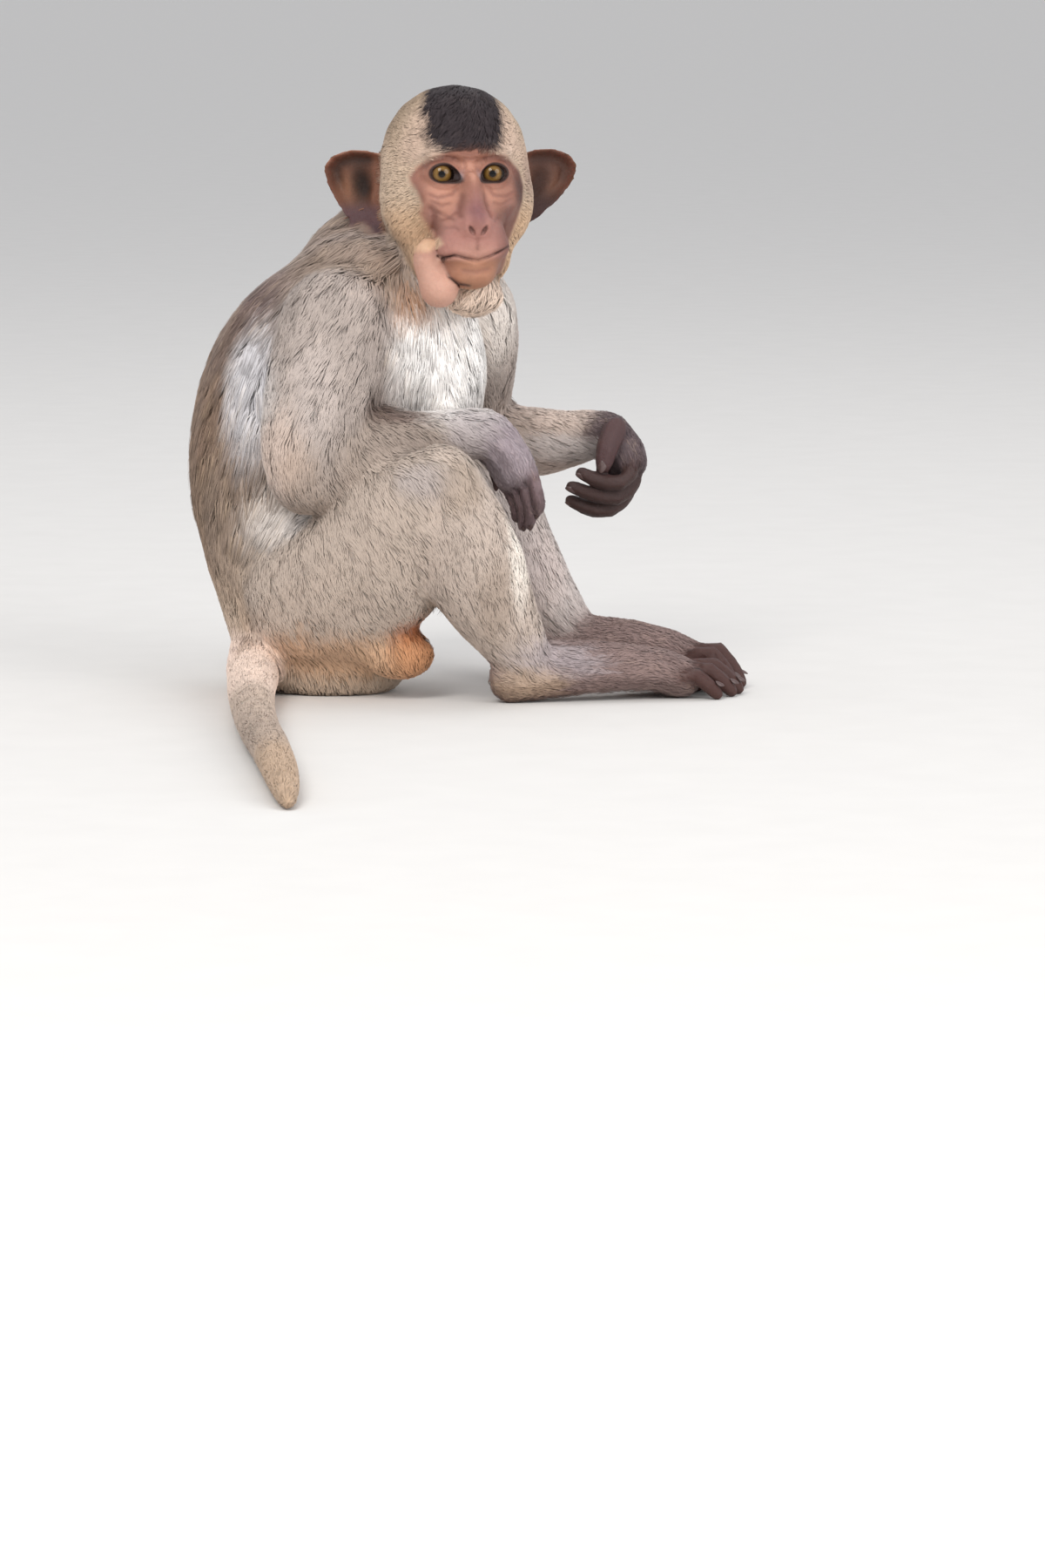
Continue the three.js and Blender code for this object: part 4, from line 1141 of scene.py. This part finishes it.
# %% Strokes of the comb
STROKES = {  # part: [(place in millimetres), (way)]
    "head": [((44, -40, 318), (0, 0.6, 0.5)), ((20, -35, 275), (-0.5, 0.6, 0)),
             ((60, 20, 290), (0.3, 1, -0.3))],
    "neck": [((10, -35, 235), (-0.5, -0.1, -0.8)), ((40, 0, 215), (0.5, 0.1, -0.9)),
             ((0, 40, 225), (-0.3, 0.6, -0.8)),
             ((-30, 10, 235), (-0.8, 0.2, -0.5)), ((20, -40, 222), (-0.2, -0.3, -0.9))],
    "chest": [((-35, -14, 222), (-0.8, -0.1, -0.55)), ((-12, -30, 222), (-0.6, -0.3, -0.7)),
              ((-57, -30, 198), (-0.65, 0, -0.75)),
              ((-80, 0, 180), (-0.55, 0.1, -0.85)), ((-89, 0, 150), (-0.2, 0.1, -1)),
              ((-62, -40, 158), (-0.15, 0, -1)),
              ((12, -40, 205), (-0.1, -0.3, -1)), ((35, -38, 180), (0.05, -0.1, -1)),
              ((60, -20, 180), (0.55, -0.1, -0.8)),
              ((60, 30, 190), (0.5, 0.3, -0.8)), ((-40, 60, 190), (-0.4, 0.4, -0.9)),
              ((-10, 40, 225), (-0.3, 0.7, -0.6))],
    "loin": [((-88, -10, 110), (-0.1, 0.1, -1)), ((-70, -35, 100), (-0.1, 0, -1)),
             ((-40, -45, 92), (-0.5, 0, -0.75)),
             ((0, -40, 100), (-0.1, 0, -1)), ((-60, 50, 90), (-0.2, 0, -1))],
    "rump": [((-75, -30, 50), (-0.05, -0.1, -1)), ((-60, -40, 30), (0.1, -0.1, -1)),
             ((-70, 30, 40), (-0.1, 0.1, -1)),
             ((20, -30, 20), (0.4, -0.1, -1)), ((-20, 40, 30), (0, 0.3, -1))],
    "tail": [((-58, -4, 25), (-0.3, -0.8, -0.5)), ((-62, -27, 16), (-0.05, -1, -0.2)),
             ((-60, -105, 12), (0.02, -1, -0.05)),
             ((-51, -235, 10), (0.1, -1, 0)), ((-42, -310, 9), (0.11, -1, 0)),
             ((-30, -430, 6), (0.08, -1, 0))],
    "thigh_right": [((-50, -50, 60), (0.3, 0, -1)), ((-11, -81, 72), (0.3, 0, -1)),
                    ((5, -80, 95), (0.5, 0, -0.8)),
                    ((25, -94, 112), (0.65, 0, -0.65)), ((-10, -55, 25), (0.45, 0.1, -0.9)),
                    ((30, -60, 60), (0.4, 0, -1))],
    "thigh_left": [((-20, 50, 60), (0.3, 0, -1)), ((25, 60, 90), (0.5, 0, -0.8)),
                   ((52, 60, 112), (0.6, 0, -0.7))],
    "shank_right": [((45, -95, 108), (0.35, 0, -1)), ((52, -92, 75), (0.2, 0, -1)),
                    ((78, -84, 80), (0.3, 0, -1)),
                    ((65, -80, 45), (0.3, 0, -1)), ((74, -74, 22), (0.7, 0.1, -0.7))],
    "shank_left": [((65, 30, 95), (0.4, -0.1, -1)), ((95, 16, 60), (0.4, -0.1, -1)),
                   ((103, 10, 30), (0.7, -0.1, -0.7))],
    "foot_right": [((75, -72, 12), (0.9, 0.15, -0.1)), ((110, -60, 20), (1, 0.25, -0.05)),
                   ((150, -45, 20), (1, 0.25, -0.25))],
    "foot_left": [((90, 20, 20), (1, -0.2, 0)), ((120, 12, 30), (1, -0.2, 0)),
                  ((155, 5, 25), (1, -0.1, -0.3))],
    "upper_arm_right": [((-10, -66, 188), (-0.45, -0.2, -0.85)), ((-28, -78, 165), (-0.5, -0.1, -0.9)),
                        ((-42, -82, 140), (-0.25, 0, -1)), ((-40, -82, 118), (0.3, 0, -1))],
    "upper_arm_left": [((60, 40, 190), (0.6, -0.1, -0.8)), ((60, 60, 160), (0.3, 0, -1)),
                       ((45, 95, 125), (0.2, 0, -1))],
    "forearm_right": [((-35, -82, 112), (0.35, 0, -0.9)), ((-11, -74, 130), (0.55, 0, -0.85)),
                      ((24, -60, 138), (0.75, 0, -0.65)),
                      ((5, -52, 148), (0.8, 0.1, -0.2)), ((55, -46, 140), (0.9, 0, -0.5))],
    "forearm_left": [((50, 80, 120), (0.6, -0.4, -0.6)), ((88, 50, 140), (0.8, -0.5, -0.3)),
                     ((110, 35, 130), (0.85, -0.4, -0.4))],
    "hand_right": [((64, -44, 138), (0.8, 0, -0.7)), ((74, -46, 116), (0.3, 0.1, -1))],
    "hand_left": [((120, 30, 138), (0.9, -0.3, -0.3)), ((134, 20, 120), (0.3, -0.2, -1))]}
LIMBS = {"thumb": "hand", "index": "hand", "middle": "hand", "ring": "hand", "little": "hand",
         "hallux": "foot", "toe": "foot"}


def strokes_of(name):
    for start, limb in LIMBS.items():
        if name.startswith(start):
            name = f"{limb}_{name.split('_')[-1]}"
    found = [v for k, v in STROKES.items() if name.startswith(k)]
    return found[0] if found else STROKES["head"]


way = np.zeros_like(at)
for number, name in enumerate(flesh):
    mine = np.where(part == number)[0]
    for place, stroke in strokes_of(name):
        pull = 1 / (((at[mine] / MM - place) ** 2).sum(1) + 30) ** 1.6
        way[mine] += pull[:, None] * np.array(stroke) / np.linalg.norm(stroke)

# %% [markdown]
# On the head the hair leaves the face all round, like rays, and runs back over the cheeks. The
# dark cap is the exception: it is combed forward and to the animal's right, into a small point.

# %% Hair of the head
x, y, z = local.T
rays = np.stack([-0.35 - 0 * x, 1.0 * (y - 1), 0.75 * (z + 16) - 0.22 * abs(y)], 1)
rays[:, 1:] /= np.hypot(y - 1, z + 16)[:, None] + 1e-6
rays[:, 2] -= 0.35 * smooth(-z, 0, 30)
rays = rays + smooth(-x, -12, 12)[:, None] * np.array([-1.6, 0, -0.5])
over = smooth(y, 0, 12)
swirl = np.stack([0.6 + 0 * x, -0.75 - 0.4 * smooth(-z, -26, -14) + 1.2 * over,
                  -0.55 + 0.3 * smooth(-z, -22, -14) - 0.3 * over], 1)
cap = cap_share(local)
rays = rays + (swirl - rays) * cap[:, None]
rays /= np.linalg.norm(rays, axis=1, keepdims=True)
head_way = rays @ axes.T
way /= np.linalg.norm(way, axis=1, keepdims=True) + 1e-9
way = way + (head_way - way) * smooth(on_head, 0.1, 0.9)[:, None]
chin_way = np.array([0.1, -0.25, -1.0]) / 1.04
low = smooth(-z, 48, 60) * on_head
way = way + (chin_way - way) * low[:, None]


def flattened(ways, outs):
    """Ways laid flat on the surface, each one unit long."""
    ways = ways - (ways * outs).sum(1, keepdims=True) * outs
    return ways / (np.linalg.norm(ways, axis=1, keepdims=True) + 1e-9)


way = flattened(way, out)
for turn in range(4):
    way = flattened(evened(way, edges, 5, 0.5 * (1 - 0.6 * cap * (turn > 0))), out)
print("strokes laid on", len(at), "points")

# %% [markdown]
# ## A map of the skin for the hair's colours
# When the model leaves Blender, its colours are baked to a picture, so every tuft needs its own
# spot there. A thin copy of the skin is cut into islands and laid flat by Smart UV Project, and
# each tuft becomes a tiny patch at its root's place on that map.

# %% Lay the skin flat
bm = bmesh.new()
bm.from_mesh(skin_mesh)
paper_mesh = worked("flat", bm, ("DECIMATE", {"ratio": 9000 / len(corners)}))
bm.free()
pattern = bpy.data.objects.new("flat", paper_mesh)
bpy.context.scene.collection.objects.link(pattern)
bpy.context.view_layer.objects.active = pattern
pattern.select_set(True)
bpy.ops.object.mode_set(mode="EDIT")
bpy.ops.mesh.select_all(action="SELECT")
bpy.ops.uv.smart_project(angle_limit=math.radians(62), island_margin=0.004)
bpy.ops.object.mode_set(mode="OBJECT")
flat_faces = faces_of(paper_mesh)
flat_at = places(paper_mesh)
flat_uv = np.empty(len(paper_mesh.loops) * 2)
paper_mesh.uv_layers[0].data.foreach_get("uv", flat_uv)
flat_uv = flat_uv.reshape(-1, 3, 2)
flat_finder = BVHTree.FromPolygons(flat_at.tolist(), flat_faces.tolist())
bpy.data.objects.remove(pattern)
print(len(flat_faces), "faces laid flat")


def map_places(points):
    """The place of each point on the flat map."""
    face = np.array([flat_finder.find_nearest(p)[2] for p in points])
    a, b, c = (flat_at[flat_faces[face, k]] for k in range(3))
    n = np.cross(b - a, c - a)
    area = (n ** 2).sum(1) + 1e-20
    u = (np.cross(b - points, c - points) * n).sum(1) / area
    v = (np.cross(c - points, a - points) * n).sum(1) / area
    share = np.stack([u, v, 1 - u - v], 1).clip(0, 1)
    share /= share.sum(1, keepdims=True)
    return (flat_uv[face] * share[:, :, None]).sum(1)


# %% [markdown]
# ## Growing the tufts
# A tuft is a few hairs stuck together: a slim three-sided spindle that bends with the body and
# ends in a point at both ends, so six faces close it. Roots are scattered evenly by chance, more
# of them where hair is short. From its root each tuft walks along the skin in short steps and
# rises as it goes. Tufts near each other lean to the same lock, which is what makes fur look soft
# and not like grass.

# %% Scatter the roots
a, b, c = at[corners[:, 0]], at[corners[:, 1]], at[corners[:, 2]]
area = np.linalg.norm(np.cross(b - a, c - a), axis=1) / 2 / MM ** 2
hidden = smooth(out[:, 2] * -1, 0.85, 0.99) * (at[:, 2] < 7 * MM)
want = (area * (share * (1 - 0.85 * hidden) * (1 - ears) ** 2)[corners].mean(1))
TUFTS = 247000
face_of = chance.choice(len(corners), TUFTS, p=want / want.sum())
r1, r2 = chance.random((2, TUFTS))
r1 = np.sqrt(r1)
weights = np.stack([1 - r1, r1 * (1 - r2), r1 * r2], 1)


def at_roots(values):
    picked = values[corners[face_of]]
    return (picked * weights.reshape(weights.shape + (1,) * (picked.ndim - 2))).sum(1)


root, root_out, root_way = at_roots(at), at_roots(out), at_roots(way)
tall, long, wide = at_roots(depth), at_roots(length), at_roots(width)
tuft_part = part[corners[face_of, 0]]
print("coat over", round(float(area[share[corners].mean(1) > 0.3].sum() / 100)), "square centimetres")

# %% Walk along the skin
skin_finder = BVHTree.FromPolygons(at.tolist(), corners.tolist())


def turned(ways, outs, angle):
    """Ways turned about the outward direction."""
    return ways * np.cos(angle)[:, None] + np.cross(outs, ways) * np.sin(angle)[:, None]


def walk(start, start_out, start_way, step, steps):
    """Points along the skin from each start, with the outward direction at each."""
    place, outs, ways = start, start_out, start_way
    trail, ups, over = [start], [start_out], []
    for _ in range(steps):
        goal = place + ways * (step * MM)[:, None]
        hits = [skin_finder.find_nearest(p) for p in goal]
        place = np.array([h[0] for h in hits])
        near = corners[np.array([h[2] for h in hits]), 0]
        outs = out[near]
        ways = flattened(0.5 * ways + 0.5 * way[near], outs)
        trail.append(place)
        ups.append(outs)
        over.append(near)
    return np.stack(trail, 1), np.stack(ups, 1), over


lock_count = TUFTS // 36
lock = chance.choice(TUFTS, lock_count, replace=False)
lock_finder = KDTree(lock_count)
for i, p in enumerate(root[lock]):
    lock_finder.insert(p, i)
lock_finder.balance()
lock_of = np.array([lock_finder.find(p)[1] for p in root])
lock_turn = chance.normal(0, 0.16, lock_count)
lock_tone = chance.random(lock_count)
root_way = flattened(root_way, root_out)
sleek = 1 - 0.55 * at_roots(on_head)
root_way = turned(root_way, root_out, (lock_turn[lock_of] + chance.normal(0, 0.13, TUFTS)) * sleek)
long = long * chance.uniform(0.7, 1.2, TUFTS)
STEPS = 2
trail, ups, over = walk(root, root_out, root_way, long / STEPS, STEPS)
tuft_colour = sum(hair_colours[near] for near in over) / STEPS

# %% [markdown]
# Where the coat is short each tuft is a low arch, with its tip down on the hair behind it. Where
# the coat is long it keeps rising, so that its tip makes the outline that the solid has. A few
# tufts stand up more, as stray hairs do.

# %% Lift the tufts and gather them into locks
t = np.linspace(0, 1, STEPS + 1)
low_arch, high_arch = np.array([0, 0.85, 0.04]), np.array([0, 0.72, 0.95])
rise = low_arch + (high_arch - low_arch) * smooth(tall, 0.3, 3.2)[:, None]
stray = np.where(chance.random(TUFTS) < 0.035, chance.uniform(1.1, 1.5, TUFTS), 1.0)
stray = 1 + (stray - 1) * smooth(tall, 1.8, 3)
height = ((tall + 0.35) * (1.08 - (1.08 - chance.uniform(0.72, 1.08, TUFTS)) * sleek)
          * (1 + (stray - 1) * sleek))
spine = trail + ups * (rise[:, :, None] * height[:, None, None] * MM)
spine[:, 0] -= ups[:, 0] * 0.5 * MM
lean = spine[lock[lock_of]] - spine[lock[lock_of]][:, :1] + spine[:, :1]
target = 0.45 * (spine[lock[lock_of]] - lean) + lean
gather = 0.55 * t[None, :, None] ** 1.4
spine = spine + gather * (target - spine)
spine[:, :, 2] = spine[:, :, 2].clip(0.35 * MM, None)
tone = 0.5 + (0.5 * lock_tone[lock_of] + 0.5 * chance.random(TUFTS) - 0.5) * at_roots(mottle)
print(TUFTS, "tufts, mean length", round(float(long.mean()), 1), "mm")

# %% Make the tufts solid
def tuft_mesh(name, chosen):
    """One mesh of closed spindles, with colour, tone and reach on every point."""
    path, up, broad = spine[chosen], ups[chosen], wide[chosen] * chance.uniform(0.75, 1.2, len(chosen))
    count, size = len(chosen), 5
    onward = path[:, 2] - path[:, 0]
    onward /= np.linalg.norm(onward, axis=1, keepdims=True) + 1e-12
    across = np.cross(onward, up[:, 1])
    across /= np.linalg.norm(across, axis=1, keepdims=True) + 1e-12
    half = (broad / 2 * MM)[:, None]
    points = np.stack([path[:, 0], path[:, 1] - across * half, path[:, 1] + across * half,
                       path[:, 1] + up[:, 1] * half * 0.6, path[:, 2]], 1)
    one = np.array([(0, 1, 2), (0, 2, 3), (0, 3, 1), (4, 2, 1), (4, 3, 2), (4, 1, 3)])
    faces = (one[None] + size * np.arange(count)[:, None, None]).reshape(-1, 3)
    mesh = bpy.data.meshes.new(name)
    mesh.vertices.add(count * size)
    mesh.vertices.foreach_set("co", points.ravel())
    mesh.loops.add(faces.size)
    mesh.loops.foreach_set("vertex_index", faces.ravel().astype(np.int32))
    mesh.polygons.add(len(faces))
    mesh.polygons.foreach_set("loop_start", np.arange(0, faces.size, 3, dtype=np.int32))
    mesh.polygons.foreach_set("use_smooth", np.ones(len(faces), bool))
    reach = np.tile([0.0, 0.5, 0.5, 0.5, 1.0], count)
    ink = np.repeat(np.c_[tuft_colour[chosen], np.ones(count)], size, 0)
    mesh.attributes.new("markings", "FLOAT_COLOR", "POINT").data.foreach_set("color", ink.ravel())
    mesh.attributes.new("reach", "FLOAT", "POINT").data.foreach_set("value", reach)
    mesh.attributes.new("tone", "FLOAT", "POINT").data.foreach_set("value", np.repeat(tone[chosen], size))
    spot_uv = map_places(root[chosen])
    corner_uv = np.array([(0, -0.0015), (-0.0015, 0), (0.0015, 0), (0.0003, 0), (0, 0.0015)])
    uv = (spot_uv[:, None] + corner_uv[None]).reshape(-1, 2)
    mesh.uv_layers.new(name="OFBake").data.foreach_set("uv", uv[faces.ravel()].ravel())
    mesh.update(calc_edges=True)
    lit = np.stack([up[:, 0] - 0.3 * onward, up[:, 1] - 0.4 * across, up[:, 1] + 0.4 * across, up[:, 1],
                    up[:, 2] + 0.8 * onward], 1)
    lit /= np.linalg.norm(lit, axis=2, keepdims=True)
    mesh.normals_split_custom_set_from_vertices(lit.reshape(-1, 3))
    return mesh


# %% [markdown]
# Hair is a little darker at the root, where less light reaches, and paler at the tip. Single tufts
# are a little lighter or darker than the next, and some have the golden tip that makes a young
# macaque's coat look brushed with straw.

# %% Coat finish
def coat_finish(name, gold, root_dark, contrast):
    fur = Finish(name, Specular_IOR_Level=0.2, Sheen_Weight=0.1, Sheen_Roughness=0.5)
    mark = fur.node("ShaderNodeAttribute", {"attribute_name": "markings"})
    reach = fur.node("ShaderNodeAttribute", {"attribute_name": "reach"}).out("Fac")
    tone = fur.node("ShaderNodeAttribute", {"attribute_name": "tone"}).out("Fac")
    place = fur.node("ShaderNodeTexCoord").out("Object")
    drift = fur.node("ShaderNodeTexNoise", None, {"Vector": place, "Scale": 55.0, "Detail": 3.0})
    value = (root_dark + (1.15 - root_dark) * reach ** 0.7) * (1.07 - contrast / 2 + contrast * tone)
    value = value * (0.9 + 0.2 * drift)
    shade = fur.node("ShaderNodeCombineColor", None, {0: value, 1: value, 2: value})
    hair = fur.mix(1.0, mark, shade, "MULTIPLY")
    straw = fur.mix(tone.step(0.62, 0.9) * reach * gold, hair, (*light("e4cba6"), 1))
    dark = fur.mix((1 - tone.step(0.05, 0.3)) * 0.12, straw, (*light("7a6a5e"), 1))
    return fur.paint(Base_Color=dark, Roughness=0.62 + 0.2 * drift)


coat_inks = {"coat_grey": coat_finish("fur_grey", 0.3, 0.85, 0.5),
             "coat_tan": coat_finish("fur_tan", 0.3, 0.9, 0.45),
             "coat_pale": coat_finish("fur_pale", 0.08, 0.95, 0.4)}

# %% Coat pieces
MOST_TUFTS = 32000  # in one piece, before it is cut into shelves by height
PIECES = {"coat_head": (("head", "lower_jaw", "cheek_pouch", "ear"), "coat_pale"),
          "coat_mantle": (("neck", "chest"), "coat_grey"), "coat_loin": (("loin",), "coat_grey"),
          "coat_rump": (("rump",), "coat_grey"), "coat_tail": (("tail",), "coat_grey"),
          "coat_thighs": (("thigh",), "coat_tan"), "coat_shanks": (("shank",), "coat_tan"),
          "coat_feet": (("foot", "toe", "hallux"), "coat_tan"),
          "coat_upper_arms": (("upper_arm",), "coat_grey"),
          "coat_forearms": (("forearm", "hand", "thumb", "index", "middle", "ring", "little"), "coat_grey")}
total = 0
for name, (starts, slot) in PIECES.items():
    chosen = np.where(is_one_of(tuft_part, *starts) > 0)[0]
    halves = {name: chosen}
    if len(chosen) > MOST_TUFTS:
        cuts = np.linspace(0, 1, len(chosen) // MOST_TUFTS + 2)[1:-1]
        shelves = np.quantile(root[chosen, 2], cuts)
        shelf = np.searchsorted(shelves, root[chosen, 2])
        halves = {f"{name}_{k + 1}": chosen[shelf == k] for k in range(len(shelves) + 1)}
    for title, group in halves.items():
        mesh = tuft_mesh(title, group)
        mesh.materials.append(coat_inks[slot])
        piece = bpy.data.objects.new(title, mesh)
        bpy.context.scene.collection.objects.link(piece)
        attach(piece, "root")
        total += len(mesh.polygons)
        print(title, len(group), "tufts,", len(mesh.polygons), "triangles")
faces_before = len(skin_mesh.polygons)
skin_mesh.validate()  # drops the few doubled faces that the thinning leaves
print("skin loses", faces_before - len(skin_mesh.polygons), "doubled faces")
print("coat", total, "triangles, skin", len(skin_mesh.polygons))

# %% Sizes for the record
low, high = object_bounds()
print("visual box", [round(v, 4) for v in (*low, *high)])
